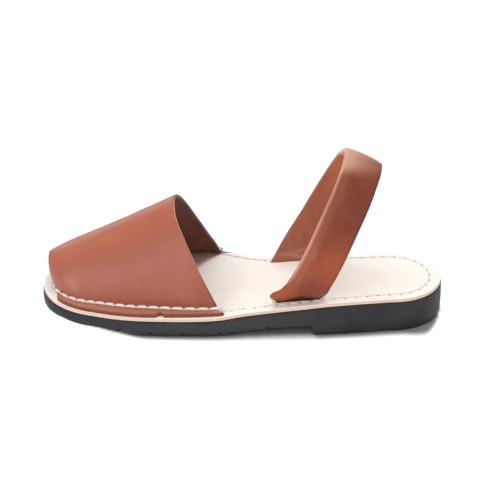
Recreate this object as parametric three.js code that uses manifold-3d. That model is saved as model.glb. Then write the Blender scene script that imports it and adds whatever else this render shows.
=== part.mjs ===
// An avarca sandal for the left foot, in millimetres.
// X runs from the toe (minus) to the heel (plus), Y from the outer side of the
// foot (minus) to the inner side (plus), and Z up from the floor.
// Four pieces are put together as a maker does: a moulded rubber outsole, a
// leather insole, a one-piece vamp turned out over the insole, and a folded
// heel strap whose ends go down through two slots of the insole.
import * as THREE from "three";
import { mergeVertices } from "three/addons/utils/BufferGeometryUtils.js";
import Module from "manifold-3d";

const wasm = await Module();
wasm.setup();

const { clamp } = THREE.MathUtils;

// Driving dimensions.
const LENGTH = 257.6;
const TOE_ROUND = 32;
const HEEL_ROUND = 30;
const CLEARANCE = 0.3;
const INSOLE_THICKNESS = 2.5;
const LEATHER = 2;
const BREAST = { top: 43.5, bottom: 46, height: 6.6 };
const STATIONS = 56;
const HALF = LENGTH / 2;

// Half-breadths of the sole on each side of its centre line, before the toe and
// the heel are rounded off.
const BREADTHS = [
  { x: -HALF, lateral: 37.4, medial: 37.5 },
  { x: -100, lateral: 38, medial: 41.5 },
  { x: -80, lateral: 41.2, medial: 46 },
  { x: -60, lateral: 42.8, medial: 50.2 },
  { x: -40, lateral: 43.2, medial: 53 },
  { x: -24, lateral: 43.3, medial: 53 },
  { x: -8, lateral: 42.2, medial: 47.2 },
  { x: 5, lateral: 41.6, medial: 38.6 },
  { x: 18, lateral: 41.6, medial: 31.4 },
  { x: 35, lateral: 41.8, medial: 27.4 },
  { x: 55, lateral: 40.4, medial: 25.8 },
  { x: 75, lateral: 38.2, medial: 26 },
  { x: 95, lateral: 35.6, medial: 27.6 },
  { x: HALF, lateral: 33, medial: 28 },
];

// Height of the outsole's upper face, which carries the insole: toe spring,
// ball, rise through the arch, and the seat of the heel.
const BED = [
  { x: -HALF, z: 15 },
  { x: -110, z: 13.7 },
  { x: -90, z: 11.6 },
  { x: -65, z: 10.4 },
  { x: -40, z: 10.2 },
  { x: -15, z: 10.9 },
  { x: 0, z: 13.1 },
  { x: 20, z: 15.9 },
  { x: 40, z: 18.4 },
  { x: 60, z: 19.8 },
  { x: 80, z: 20.2 },
  { x: HALF, z: 20.2 },
];

// Height of the tread in front of the heel block. The ball lies flat on the floor.
const TREAD = [
  { x: -HALF, z: 6.2 },
  { x: -117, z: 6.9 },
  { x: -100, z: 5.3 },
  { x: -80, z: 2.75 },
  { x: -62, z: 0.7 },
  { x: -50, z: 0 },
  { x: -9, z: 0 },
  { x: 0, z: 2.2 },
  { x: 20, z: 4.9 },
  { x: BREAST.top, z: BREAST.height },
];

// Rings of the outsole's side from the bed to the tread: how far each lies
// inside the outline, and its height from the bed (down) or the tread (up).
const SIDE_RINGS = [
  { inset: 0.5, from: "bed", height: 0 },
  { inset: 0, from: "bed", height: -0.7 },
  { inset: 0, from: "tread", height: 1.8 },
  { inset: 0.5, from: "tread", height: 0.5 },
  { inset: 1.6, from: "tread", height: 0 },
];

// Cross grooves that part the tread into lugs and end in the sole's side.
const GROOVES = [
  { x: -78, depth: 2.2 },
  { x: -58, depth: 2.4 },
  { x: -37, depth: 2.4 },
  { x: -29.5, depth: 1.6 },
  { x: -14, depth: 2.4 },
  { x: -6, depth: 2.2 },
  { x: 16.5, depth: 1.8 },
  { x: 116, depth: 2 },
];
const GROOVE_WIDTH = 2.4;

// Shallow steps where the tread plate starts behind the toe.
const TOE_STEPS = [
  { x: -111, height: 0.9 },
  { x: -86, height: 0.7 },
];

// Blind pockets in the underside of the heel block, which leave its rim whole.
const HEEL_POCKETS = { xs: [60, 71, 91, 102], y: -5, length: 38, width: 3, depth: 2.4 };

// Distance of the stitch line inside the outline, on either side. The vamp
// bends up along it.
const STITCH_INSET = [
  { x: -HALF, lateral: 6.8, medial: 6.8 },
  { x: -117, lateral: 7.4, medial: 7.2 },
  { x: -105, lateral: 9, medial: 7.6 },
  { x: -83, lateral: 10.9, medial: 7.4 },
  { x: -63, lateral: 10.9, medial: 6.6 },
  { x: -40, lateral: 9.6, medial: 5.4 },
  { x: -16, lateral: 8.1, medial: 4.5 },
  { x: 0, lateral: 6.6, medial: 5.5 },
  { x: 25, lateral: 6.3, medial: 5 },
  { x: 90, lateral: 6.6, medial: 4.6 },
  { x: 115, lateral: 7, medial: 5.8 },
  { x: HALF, lateral: 7.4, medial: 7.4 },
];

// Vamp: where its base starts and ends, and where its crest does.
const VAMP = {
  baseFront: -118.5,
  baseThroat: -15.2,
  crestFront: -124,
  crestThroat: -42.8,
  frontBulge: 0.6,
  bendRadius: 3,
  bendInset: 1,
  throatFlare: { lateral: 3.4, medial: 1.6 },
  frontTrim: 1.2,
  crestOffset: 1,
  lateralFullness: 2.15,
  medialFullness: 1.92,
};

// Height of the vamp's crest, measured in the middle of the leather.
const CREST = [
  { x: -124, z: 37 },
  { x: -118.5, z: 38.8 },
  { x: -103.7, z: 44.4 },
  { x: -87, z: 51.6 },
  { x: -68.4, z: 59.8 },
  { x: -56, z: 65.5 },
  { x: -46.6, z: 70.3 },
  { x: -42.8, z: 72.6 },
];

// The throat's edge departs from a straight cut: share of the arch's height, and
// how far the edge moves towards the heel on either side.
const THROAT_TRIM = [
  { height: 0, lateral: 0, medial: 0.9 },
  { height: 0.12, lateral: 0, medial: 0.6 },
  { height: 0.28, lateral: -0.1, medial: -0.7 },
  { height: 0.5, lateral: -0.3, medial: -1.3 },
  { height: 0.75, lateral: -0.8, medial: -1 },
  { height: 0.93, lateral: -1.4, medial: -0.4 },
  { height: 1, lateral: -0.7, medial: -0.7 },
];

// Margin of insole left outside the turned-out edge of the vamp, on either side.
const FLANGE_MARGIN = [
  { x: -120, lateral: 1.5, medial: 1.5 },
  { x: -90, lateral: 1.1, medial: 1.1 },
  { x: -58, lateral: 1.3, medial: 1.2 },
  { x: -45, lateral: 2, medial: 1.2 },
  { x: -10, lateral: 2.4, medial: 1.3 },
];
const EDGE_NOTCH = { x: -53, width: 5.4, depth: 2.6 };
const VAMP_ROWS = 27;
const FLANGE_STEPS = 3;
const BEND_STEPS = 4;
const ARCH_STEPS = 26;

// Heel strap: a leather folded double, leaning back towards the heel.
const STRAP = {
  lean: THREE.MathUtils.degToRad(25.6),
  x: 34.3,
  y: -6.5,
  z: 20.5,
  width: 25.2,
  thickness: 3.8,
  flare: 4.4,
  flareHeight: 13,
  lipHeight: 4,
  lipTrim: 2.2,
  farTwist: 2.2,
  twistHeight: 36,
  farTurn: 3.8,
  farTurnHeight: 80,
  bow: 1.2,
  bowHeight: 70,
  bowReach: 45,
  camberFrom: 68,
  tuck: 7.8,
  tuckHeight: 11.5,
};
const STRAP_STEPS = 60;
const STRAP_SEAT = 0.55;
const SLOT_STEPS = 6;
const SLOT_MARGIN = 0.4;
const SLOT_RISE = 6;

// The strap's arch in its leaning plane: height along the lean, and distance of
// the near and the far leg from the middle, from below the insole to the crown.
const STRAP_ARCH = [
  { up: -22, near: 29.6, far: 26.6 },
  { up: -8, near: 30.6, far: 28.2 },
  { up: 4, near: 31.8, far: 28.9 },
  { up: 18, near: 34, far: 31 },
  { up: 32, near: 35.2, far: 31.8 },
  { up: 47, near: 34.1, far: 30.8 },
  { up: 62.5, near: 30.2, far: 28.2 },
  { up: 76, near: 24.4, far: 23.6 },
  { up: 88.2, near: 13.4, far: 14.6 },
  { up: 94.9, near: 0, far: 0 },
];

// Rise of the crown above its edges, from the fold in front to the cut edges behind.
const CAMBER = [
  { w: -12.6, rise: 0 },
  { w: -9, rise: 0.7 },
  { w: -5, rise: 1.1 },
  { w: 0, rise: 1.3 },
  { w: 7, rise: 0.95 },
  { w: 12.6, rise: 0 },
];

// A smooth curve through a table's rows, without overshoot between them.
function read(table, key, column, at) {
  const last = table.length - 1;
  const x = clamp(at, table[0][key], table[last][key]);
  let i = 0;
  while (i < last - 1 && x > table[i + 1][key]) i += 1;
  const span = (n) => table[n + 1][key] - table[n][key];
  const rise = (n) => (table[n + 1][column] - table[n][column]) / span(n);
  const slope = (n) => {
    if (n === 0) return rise(0);
    if (n === last) return rise(last - 1);
    const before = rise(n - 1);
    const after = rise(n);
    if (before * after <= 0) return 0;
    const a = 2 * span(n) + span(n - 1);
    const b = span(n) + 2 * span(n - 1);
    return (a + b) / (a / before + b / after);
  };
  const h = span(i);
  const t = (x - table[i][key]) / h;
  const p = table[i][column] * (1 + 2 * t) * (1 - t) ** 2;
  const q = table[i + 1][column] * t * t * (3 - 2 * t);
  return p + q + h * t * (1 - t) * (slope(i) * (1 - t) - slope(i + 1) * t);
}

const sideName = (side) => (side < 0 ? "lateral" : "medial");

// A soft step from 0 to 1, and a soft bell from 1 to 0 over a reach.
const soft = (t) => THREE.MathUtils.smoothstep(t, 0, 1);
const bell = (distance, reach) => clamp(1 - (distance / reach) ** 2, 0, 1) ** 2;

const bedHeight = (x) => read(BED, "x", "z", x);
const footbed = (x) => bedHeight(x) + CLEARANCE + INSOLE_THICKNESS;

function treadHeight(x) {
  if (x >= BREAST.bottom) return 0;
  if (x <= BREAST.top) return read(TREAD, "x", "z", x);
  return (BREAST.height * (BREAST.bottom - x)) / (BREAST.bottom - BREAST.top);
}

// The outline's Y at one X: an ellipse rounds off the toe and the heel about
// the centre line. Side is -1 for the outer side and 1 for the inner side.
function outlineY(x, side) {
  const lateral = read(BREADTHS, "x", "lateral", x);
  const medial = read(BREADTHS, "x", "medial", x);
  const toe = clamp((TOE_ROUND - HALF - x) / TOE_ROUND, 0, 1);
  const heel = clamp((x - HALF + HEEL_ROUND) / HEEL_ROUND, 0, 1);
  const round = Math.sqrt(1 - toe * toe) * Math.sqrt(1 - heel * heel);
  return (medial - lateral) / 2 + (side * round * (medial + lateral)) / 2;
}

// A point of the outline, moved inwards along its normal. Turn runs from 0 at
// the toe, along the outer side to 1 at the heel, and back to 2 at the toe.
function outlinePoint(turn, inset = 0) {
  const at = (s) => {
    const w = ((s % 2) + 2) % 2;
    const x = -Math.cos(Math.PI * w) * HALF;
    return new THREE.Vector2(x, outlineY(x, w <= 1 ? -1 : 1));
  };
  const step = 1e-3;
  const along = at(turn + step).sub(at(turn - step)).normalize();
  return at(turn).add(new THREE.Vector2(-along.y, along.x).multiplyScalar(inset));
}

const turnAt = (x) => Math.acos(-x / HALF) / Math.PI;

// The stitch line's Y at one X, found along the inset outline by halving.
function stitchY(x, side, extra = 0) {
  const point = (s) => {
    const turn = side < 0 ? s : 2 - s;
    const inset = read(STITCH_INSET, "x", sideName(side), outlinePoint(turn).x);
    return outlinePoint(turn, inset + extra);
  };
  let low = 0.02;
  let high = 0.98;
  for (let n = 0; n < 30; n += 1) {
    const middle = (low + high) / 2;
    if (point(middle).x < x) low = middle;
    else high = middle;
  }
  return point((low + high) / 2).y;
}

function geometryOf(positions, triangles) {
  const geometry = new THREE.BufferGeometry();
  geometry.setAttribute("position", new THREE.Float32BufferAttribute(positions, 3));
  geometry.setIndex(triangles);
  return geometry;
}

function solidOf(geometry) {
  const bare = geometry.clone();
  bare.deleteAttribute("normal");
  bare.deleteAttribute("uv");
  const merged = mergeVertices(bare, 1e-4);
  const vertProperties = new Float32Array(merged.attributes.position.array);
  const triVerts = new Uint32Array(merged.index.array);
  return new wasm.Manifold(new wasm.Mesh({ numProp: 3, vertProperties, triVerts }));
}

function geometryFrom(solid) {
  const mesh = solid.getMesh();
  const geometry = new THREE.BufferGeometry();
  geometry.setAttribute("position", new THREE.BufferAttribute(mesh.vertProperties, 3));
  geometry.setIndex(new THREE.BufferAttribute(mesh.triVerts, 1));
  geometry.computeVertexNormals();
  return geometry;
}

function boxAt(size, centre, turnY = 0) {
  const box = new THREE.BoxGeometry(...size);
  box.rotateY(turnY);
  box.translate(...centre);
  return solidOf(box);
}

// A plate under the outline: rings of the outline go from its upper edge to its
// lower edge, and strips across close both faces.
function plate(rings, heightOf) {
  const turns = [];
  for (let n = 0; n <= STATIONS; n += 1) turns.push(n / STATIONS);
  turns.push(turnAt(BREAST.top), turnAt(BREAST.bottom));
  turns.sort((a, b) => a - b);
  const ends = turns.length - 1;
  const loop = [...turns, ...turns.slice(1, ends).reverse().map((turn) => 2 - turn)];
  const positions = [];
  const triangles = [];
  for (const ring of rings) {
    for (const turn of loop) {
      const p = outlinePoint(turn, ring.inset);
      positions.push(p.x, p.y, heightOf(ring, p.x));
    }
  }
  const size = loop.length;
  const wall = (a, b, c, d) => triangles.push(a, b, c, a, c, d);
  for (let r = 0; r < rings.length - 1; r += 1) {
    for (let k = 0; k < size; k += 1) {
      const next = (k + 1) % size;
      wall(r * size + k, (r + 1) * size + k, (r + 1) * size + next, r * size + next);
    }
  }
  const bottom = (rings.length - 1) * size;
  for (let n = 0; n < ends; n += 1) {
    const opposite = (m) => (size - m) % size;
    const quad = [n, n + 1, opposite(n + 1), opposite(n)];
    const faces = n === 0 ? [[0, 1, 2]] : [[0, 1, 2], [0, 2, 3]];
    if (n === ends - 1) faces.splice(0, faces.length, [0, 1, 3]);
    for (const [a, b, c] of faces) {
      triangles.push(quad[a], quad[b], quad[c]);
      triangles.push(bottom + quad[a], bottom + quad[c], bottom + quad[b]);
    }
  }
  return geometryOf(positions, triangles);
}

function makeOutsole() {
  const height = (ring, x) => (ring.from === "bed" ? bedHeight(x) : treadHeight(x)) + ring.height;
  let sole = solidOf(plate(SIDE_RINGS, height));
  const reach = 130;
  const below = 6;
  const slopeAt = (x) => Math.atan2(treadHeight(x - 2) - treadHeight(x + 2), 4);
  for (const { x, depth } of GROOVES) {
    const tall = depth + below;
    const centre = [x, 0, treadHeight(x) + depth - tall / 2];
    sole = sole.subtract(boxAt([GROOVE_WIDTH, reach, tall], centre, slopeAt(x)));
  }
  for (const { x, height: step } of TOE_STEPS) {
    const long = 2 * GROOVE_WIDTH;
    const tall = step + below;
    const centre = [x - long / 2, 0, treadHeight(x) + step - tall / 2];
    sole = sole.subtract(boxAt([long, reach, tall], centre, slopeAt(x)));
  }
  const { xs, y, length, width, depth } = HEEL_POCKETS;
  for (const x of xs) {
    sole = sole.subtract(boxAt([width, length, 2 * depth], [x, y, 0]));
  }
  return geometryFrom(sole);
}

// The strap's mid line in its leaning plane, from the near end over the crown
// to the far end: x is the distance out, y the height.
const strapPath = (() => {
  const near = STRAP_ARCH.map((row) => new THREE.Vector3(-row.near, row.up, 0));
  const far = STRAP_ARCH.slice(0, -1).reverse().map((row) => new THREE.Vector3(row.far, row.up, 0));
  return new THREE.CatmullRomCurve3([...near, ...far], false, "centripetal");
})();

const upLean = new THREE.Vector3(Math.sin(STRAP.lean), 0, Math.cos(STRAP.lean));
const backLean = new THREE.Vector3(Math.cos(STRAP.lean), 0, -Math.sin(STRAP.lean));

// A point in the middle of the strap's leather: s along the arch, w across it
// from front to rear.
// Near leg: it bows a little forwards at mid height, its front edge flares into a
// lip over the insole, and it turns inwards to its slot.
// Far leg: it leans a little further back, and its front edge is turned away.
// Crown: its middle is cambered above both edges.
function strapMiddle(s, w) {
  const { x: y, y: up } = strapPath.getPoint(s);
  const isNear = s < 0.5;
  const front = clamp(0.5 - w / STRAP.width, 0, 1);
  const nearShare = clamp(-y / STRAP_ARCH[4].near, 0, 1);
  const farShare = clamp(y / STRAP_ARCH[4].far, 0, 1);
  const at = (height, across) => {
    const point = new THREE.Vector3(STRAP.x, STRAP.y + y, STRAP.z);
    return point.addScaledVector(upLean, height).addScaledVector(backLean, across);
  };
  const over = (point) => point.z - footbed(point.x);

  const low = clamp(1 - up / STRAP.flareHeight, 0, 1);
  const roll = soft(over(at(up, w)) / STRAP.lipHeight);
  const lip = STRAP.flare * low ** 2 * roll - STRAP.lipTrim * (1 - roll);
  const flare = isNear ? lip * front ** 2 : 0;
  const crown = soft((up - STRAP.camberFrom) / (STRAP_ARCH.at(-1).up - STRAP.camberFrom));
  const camber = crown * read(CAMBER, "w", "rise", w);

  const point = at(up + camber, w - flare);
  point.x += STRAP.farTwist * soft(up / STRAP.twistHeight) * farShare;
  point.x -= STRAP.bow * bell(up - STRAP.bowHeight, STRAP.bowReach) * nearShare;
  if (isNear) {
    point.y += STRAP.tuck * (1 - soft((over(point) + 1) / (STRAP.tuckHeight + 1)));
  } else {
    point.y += STRAP.farTurn * front * (1 - soft(up / STRAP.farTurnHeight));
  }
  return point;
}

// The same, moved n out along the leather's normal.
function strapPoint(s, w, n) {
  const middle = strapMiddle(s, w);
  const along = strapMiddle(Math.min(s + 1e-3, 1), w).sub(strapMiddle(Math.max(s - 1e-3, 0), w));
  const across = strapMiddle(s, w + 0.1).sub(strapMiddle(s, w - 0.1));
  return middle.addScaledVector(across.cross(along).normalize(), n);
}

// The section of the strap: a round fold in front and a square rear edge.
function strapSection(grow) {
  const half = STRAP.width / 2 + grow;
  const thick = STRAP.thickness / 2 + grow;
  const chamfer = 0.5;
  const section = [];
  const folds = 6;
  for (let k = 0; k <= folds; k += 1) {
    const angle = Math.PI / 2 + (Math.PI * k) / folds;
    section.push({ w: -half + thick + thick * Math.cos(angle), n: thick * Math.sin(angle) });
  }
  section.push({ w: 0, n: -thick });
  section.push({ w: half - chamfer, n: -thick });
  section.push({ w: half, n: chamfer - thick });
  section.push({ w: half, n: thick - chamfer });
  section.push({ w: half - chamfer, n: thick });
  section.push({ w: 0, n: thick });
  return section;
}

// Where along the arch one line of the strap reaches a height over the bed.
function strapReach(w, n, over, fromFar) {
  let low = 0;
  let high = 0.4;
  for (let k = 0; k < 36; k += 1) {
    const middle = (low + high) / 2;
    const p = strapPoint(fromFar ? 1 - middle : middle, w, n);
    if (p.z < bedHeight(p.x) + over) low = middle;
    else high = middle;
  }
  return (low + high) / 2;
}

// Share of the way along the strap: close steps at the feet and at the crown.
function graded(share) {
  const turn = 2 * Math.PI * share;
  return share - 0.045 * Math.sin(turn) - 0.028 * Math.sin(2 * turn);
}

// A swept band between two limits of each of its lines, closed at both ends.
function band(section, steps, limits, spread = (share) => share) {
  const positions = [];
  const triangles = [];
  const size = section.length;
  for (let i = 0; i <= steps; i += 1) {
    for (const { w, n } of section) {
      const [from, to] = limits(w, n);
      positions.push(...strapPoint(from + (to - from) * spread(i / steps), w, n).toArray());
    }
  }
  for (let i = 0; i < steps; i += 1) {
    for (let k = 0; k < size; k += 1) {
      const next = (k + 1) % size;
      const a = i * size;
      const b = a + size;
      triangles.push(a + k, a + next, b + next, a + k, b + next, b + k);
    }
  }
  const end = steps * size;
  for (let k = 1; k < size - 1; k += 1) {
    triangles.push(0, k + 1, k, end, end + k, end + k + 1);
  }
  return outwards(geometryOf(positions, triangles));
}

// Turns a closed mesh the right way out.
function outwards(geometry) {
  if (solidOf(geometry).volume() > 0) return geometry;
  const index = geometry.index.array;
  for (let k = 0; k < index.length; k += 3) {
    [index[k + 1], index[k + 2]] = [index[k + 2], index[k + 1]];
  }
  return geometry;
}

function makeStrap() {
  const limits = (w, n) => [
    strapReach(w, n, STRAP_SEAT, false),
    1 - strapReach(w, n, STRAP_SEAT, true),
  ];
  return band(strapSection(0), STRAP_STEPS, limits, graded);
}

function makeInsole() {
  const top = CLEARANCE + INSOLE_THICKNESS;
  const rings = [
    { inset: 1, height: top },
    { inset: 0.4, height: top - 0.6 },
    { inset: 0.4, height: CLEARANCE },
  ];
  let insole = solidOf(plate(rings, (ring, x) => bedHeight(x) + ring.height));
  const section = strapSection(SLOT_MARGIN);
  for (const fromFar of [false, true]) {
    const limits = (w, n) => {
      const foot = strapReach(w, n, -1, fromFar);
      const head = strapReach(w, n, SLOT_RISE, fromFar);
      return fromFar ? [1 - foot, 1 - head] : [foot, head];
    };
    insole = insole.subtract(solidOf(band(section, SLOT_STEPS, limits)));
  }
  return geometryFrom(insole);
}

// One section of the vamp through the middle of its leather, from the outer
// edge of the flange, over the crest, to the inner side's flange.
function vampSection(u) {
  const { baseFront, baseThroat, crestFront, crestThroat } = VAMP;
  const baseX = THREE.MathUtils.lerp(baseFront, baseThroat, u);
  const crestX = THREE.MathUtils.lerp(crestFront, crestThroat, u);
  const baseZ = (x) => footbed(x) + CLEARANCE + LEATHER / 2;
  const rise = read(CREST, "x", "z", crestX) - baseZ(baseX);
  const feet = { "-1": stitchY(baseX, -1, VAMP.bendInset), 1: stitchY(baseX, 1, VAMP.bendInset) };
  const middle = (feet[-1] + feet[1]) / 2 + VAMP.crestOffset;
  const bulge = VAMP.frontBulge * (1 - u) ** 4;
  const arch = (angle, side) => {
    const height = Math.sin(angle);
    const fullness = side < 0 ? VAMP.lateralFullness : VAMP.medialFullness;
    const out = Math.max(Math.cos(angle), 0) ** (2 / fullness);
    const trim = read(THROAT_TRIM, "height", sideName(side), height) * u ** 4;
    return new THREE.Vector3(
      baseX + (crestX - baseX) * height - bulge * 4 * height * (1 - height) + trim,
      middle + (feet[side] - middle) * out,
      baseZ(baseX) + rise * height,
    );
  };
  const start = Math.asin(VAMP.bendRadius / rise);
  const half = (side) => {
    const points = [];
    const margin = read(FLANGE_MARGIN, "x", sideName(side), baseX);
    const edge = outlineY(baseX, side) - side * margin;
    const bend = feet[side] + side * VAMP.bendRadius;
    const shift = VAMP.throatFlare[sideName(side)] * u ** 2 + VAMP.frontTrim * (1 - u) ** 12;
    for (let k = 0; k < FLANGE_STEPS; k += 1) {
      const f = 1 - k / FLANGE_STEPS;
      const x = baseX + shift * f;
      points.push(new THREE.Vector3(x, THREE.MathUtils.lerp(bend, edge, f), baseZ(x)));
    }
    const from = new THREE.Vector3(baseX, bend, baseZ(baseX));
    const corner = new THREE.Vector3(baseX, feet[side], baseZ(baseX));
    const curve = new THREE.QuadraticBezierCurve3(from, corner, arch(start, side));
    points.push(...curve.getPoints(BEND_STEPS));
    const steps = ARCH_STEPS / 2;
    for (let k = 1; k <= steps; k += 1) {
      points.push(arch(start + ((Math.PI / 2 - start) * k) / steps, side));
    }
    return points;
  };
  return [...half(-1), ...half(1).slice(0, -1).reverse()];
}

// A wall of even thickness about a grid of points, with closed rims.
function wallAbout(grid, thickness) {
  const rows = grid.length;
  const columns = grid[0].length;
  const clampRow = (i) => clamp(i, 0, rows - 1);
  const clampColumn = (j) => clamp(j, 0, columns - 1);
  const positions = [];
  for (const side of [0.5, -0.5]) {
    for (let i = 0; i < rows; i += 1) {
      for (let j = 0; j < columns; j += 1) {
        const down = grid[clampRow(i + 1)][j].clone().sub(grid[clampRow(i - 1)][j]);
        const across = grid[i][clampColumn(j + 1)].clone().sub(grid[i][clampColumn(j - 1)]);
        const normal = down.cross(across).normalize();
        const p = grid[i][j].clone().addScaledVector(normal, side * thickness);
        positions.push(p.x, p.y, p.z);
      }
    }
  }
  const triangles = [];
  const quad = (a, b, c, d) => triangles.push(a, b, c, a, c, d);
  const outer = (i, j) => i * columns + j;
  const inner = (i, j) => rows * columns + outer(i, j);
  for (let i = 0; i < rows - 1; i += 1) {
    for (let j = 0; j < columns - 1; j += 1) {
      quad(outer(i, j), outer(i + 1, j), outer(i + 1, j + 1), outer(i, j + 1));
      quad(inner(i, j), inner(i, j + 1), inner(i + 1, j + 1), inner(i + 1, j));
    }
    const last = columns - 1;
    quad(outer(i, 0), inner(i, 0), inner(i + 1, 0), outer(i + 1, 0));
    quad(outer(i, last), outer(i + 1, last), inner(i + 1, last), inner(i, last));
  }
  for (let j = 0; j < columns - 1; j += 1) {
    const last = rows - 1;
    quad(outer(0, j), outer(0, j + 1), inner(0, j + 1), inner(0, j));
    quad(outer(last, j), inner(last, j), inner(last, j + 1), outer(last, j + 1));
  }
  return outwards(geometryOf(positions, triangles));
}

function makeVamp() {
  const grid = [];
  for (let i = 0; i < VAMP_ROWS; i += 1) grid.push(vampSection(i / (VAMP_ROWS - 1)));
  const vamp = solidOf(wallAbout(grid, LEATHER));
  const edge = outlineY(EDGE_NOTCH.x, -1) + read(FLANGE_MARGIN, "x", "lateral", EDGE_NOTCH.x);
  const notch = new THREE.Shape();
  notch.moveTo(EDGE_NOTCH.x - EDGE_NOTCH.width / 2, edge - 0.5);
  notch.lineTo(EDGE_NOTCH.x + EDGE_NOTCH.width / 2, edge - 0.5);
  notch.lineTo(EDGE_NOTCH.x, edge + EDGE_NOTCH.depth);
  const cutter = new THREE.ExtrudeGeometry(notch, { depth: 4 * LEATHER, bevelEnabled: false });
  cutter.translate(0, 0, footbed(EDGE_NOTCH.x) - LEATHER);
  return geometryFrom(vamp.subtract(solidOf(cutter)));
}

const RUBBER = new THREE.MeshStandardMaterial({ color: 0x3a3a3e, roughness: 0.62 });
const PALE_LEATHER = new THREE.MeshStandardMaterial({ color: 0xf2e6d8, roughness: 0.7 });
const COGNAC_LEATHER = new THREE.MeshStandardMaterial({ color: 0xa9573a, roughness: 0.5 });
const STRAP_LEATHER = new THREE.MeshStandardMaterial({ color: 0x9c4d36, roughness: 0.48 });

const sandal = new THREE.Group();

function addPiece(name, geometry, material) {
  geometry.computeVertexNormals();
  const piece = new THREE.Mesh(geometry, material);
  piece.name = name;
  sandal.add(piece);
}

addPiece("outsole", makeOutsole(), RUBBER);
addPiece("insole", makeInsole(), PALE_LEATHER);
addPiece("vamp", makeVamp(), COGNAC_LEATHER);
addPiece("heel_strap", makeStrap(), STRAP_LEATHER);

// The origin is the middle of the whole sandal, on the floor.
const middle = new THREE.Box3().setFromObject(sandal).getCenter(new THREE.Vector3());
sandal.position.set(-middle.x, -middle.y, 0);

export default sandal;
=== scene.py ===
"""An avarca sandal for the left foot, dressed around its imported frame.

Shapes are worked out in millimetres in the maker's own axes (X from the toe to the
heel, Y from the outer to the inner side, Z up from the floor) and put into their
meshes in metres, in the frame's axes.
"""

import logging
from dataclasses import dataclass, field
from enum import IntEnum

import bmesh
import bpy
import numpy as np
from bpy.types import ID, Material, Node, NodeSocket, Object
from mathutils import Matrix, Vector

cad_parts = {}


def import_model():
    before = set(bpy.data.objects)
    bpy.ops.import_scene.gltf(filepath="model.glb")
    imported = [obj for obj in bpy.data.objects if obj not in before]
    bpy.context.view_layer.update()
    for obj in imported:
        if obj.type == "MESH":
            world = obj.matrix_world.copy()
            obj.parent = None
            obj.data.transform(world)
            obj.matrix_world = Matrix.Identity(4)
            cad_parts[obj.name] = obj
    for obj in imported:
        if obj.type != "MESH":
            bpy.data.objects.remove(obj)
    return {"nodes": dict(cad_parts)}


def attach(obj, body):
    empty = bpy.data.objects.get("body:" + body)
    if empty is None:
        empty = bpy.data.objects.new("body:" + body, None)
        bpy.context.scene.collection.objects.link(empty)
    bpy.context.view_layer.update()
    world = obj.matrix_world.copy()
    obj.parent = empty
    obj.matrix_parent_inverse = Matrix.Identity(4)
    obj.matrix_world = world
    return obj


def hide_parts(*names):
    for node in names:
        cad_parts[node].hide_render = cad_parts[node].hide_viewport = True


LOG = logging.getLogger("sandal")
MM = 0.001
# Y of the middle of the sandal's box in the maker's axes. In the frame it is 0.
CENTRE_Y = 4.699
# The strap and the insole have two finishes: slot 0 for their faces, slot 1 for cut edges.
CUT_SLOT = 1
Array = np.ndarray
Colour = tuple[float, float, float]
Triple = tuple[float, float, float]
Pair = tuple[float, float]
Rows = tuple[tuple[float, ...], ...]
Rails = dict[str | int, Array]


class Side(IntEnum):
    """The two sides of the foot, with the sign of their Y."""

    OUTER = -1
    INNER = 1

    @property
    def column(self) -> int:
        """The side's column in a table whose first column is a place."""
        return 1 if self < 0 else 2


class Face(IntEnum):
    """Which finish a face of the vamp takes: its place in the material slots."""

    GRAIN = 0
    FLESH = 1
    RAW_EDGE = 2
    WAXED_EDGE = 3


def through(rows: Rows, at: Array, column: int = 1) -> Array:
    """A smooth curve through a table's rows, without overshoot between them.

    Between two rows it is the cubic with the rows' slopes, and each slope is the
    weighted harmonic mean of the rises beside it, or 0 at a turn.

    Args:
        rows: the table, sorted by its first column.
        at: places along the first column.
        column: the column that is read.

    Returns:
        The column's value at each place.
    """
    xs = np.array([row[0] for row in rows])
    ys = np.array([row[column] for row in rows])
    span = np.diff(xs)
    rise = np.diff(ys) / span
    slope = np.zeros_like(ys)
    slope[0], slope[-1] = rise[0], rise[-1]
    first = 2 * span[1:] + span[:-1]
    second = span[1:] + 2 * span[:-1]
    same = rise[:-1] * rise[1:] > 0
    before = np.where(same, rise[:-1], 1)
    after = np.where(same, rise[1:], 1)
    slope[1:-1] = np.where(same, (first + second) / (first / before + second / after), 0)
    x = np.clip(np.asarray(at, float), xs[0], xs[-1])
    i = np.clip(np.searchsorted(xs, x, side="right") - 1, 0, len(span) - 1)
    t = (x - xs[i]) / span[i]
    low = ys[i] * (1 + 2 * t) * (1 - t) ** 2
    high = ys[i + 1] * t * t * (3 - 2 * t)
    return low + high + span[i] * t * (1 - t) * (slope[i] * (1 - t) - slope[i + 1] * t)


def smooth(t: Array) -> Array:
    """A soft step from 0 to 1: 3t² - 2t³, with t held between 0 and 1."""
    t = np.clip(t, 0, 1)
    return t * t * (3 - 2 * t)


def bell(distance: Array, reach: float) -> Array:
    """A soft bell, 1 at distance 0 and 0 from the reach on: (1 - (d/r)²)²."""
    return np.clip(1 - (np.asarray(distance) / reach) ** 2, 0, 1) ** 2


def unit(vectors: Array) -> Array:
    """Vectors brought to length 1 along the last axis."""
    length = np.linalg.norm(vectors, axis=-1, keepdims=True)
    return vectors / np.maximum(length, 1e-12)


def grid_normals(grid: Array) -> Array:
    """Unit normals of a grid of points: the cross product of its two slopes."""
    return unit(np.cross(np.gradient(grid, axis=0), np.gradient(grid, axis=1)))


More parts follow.
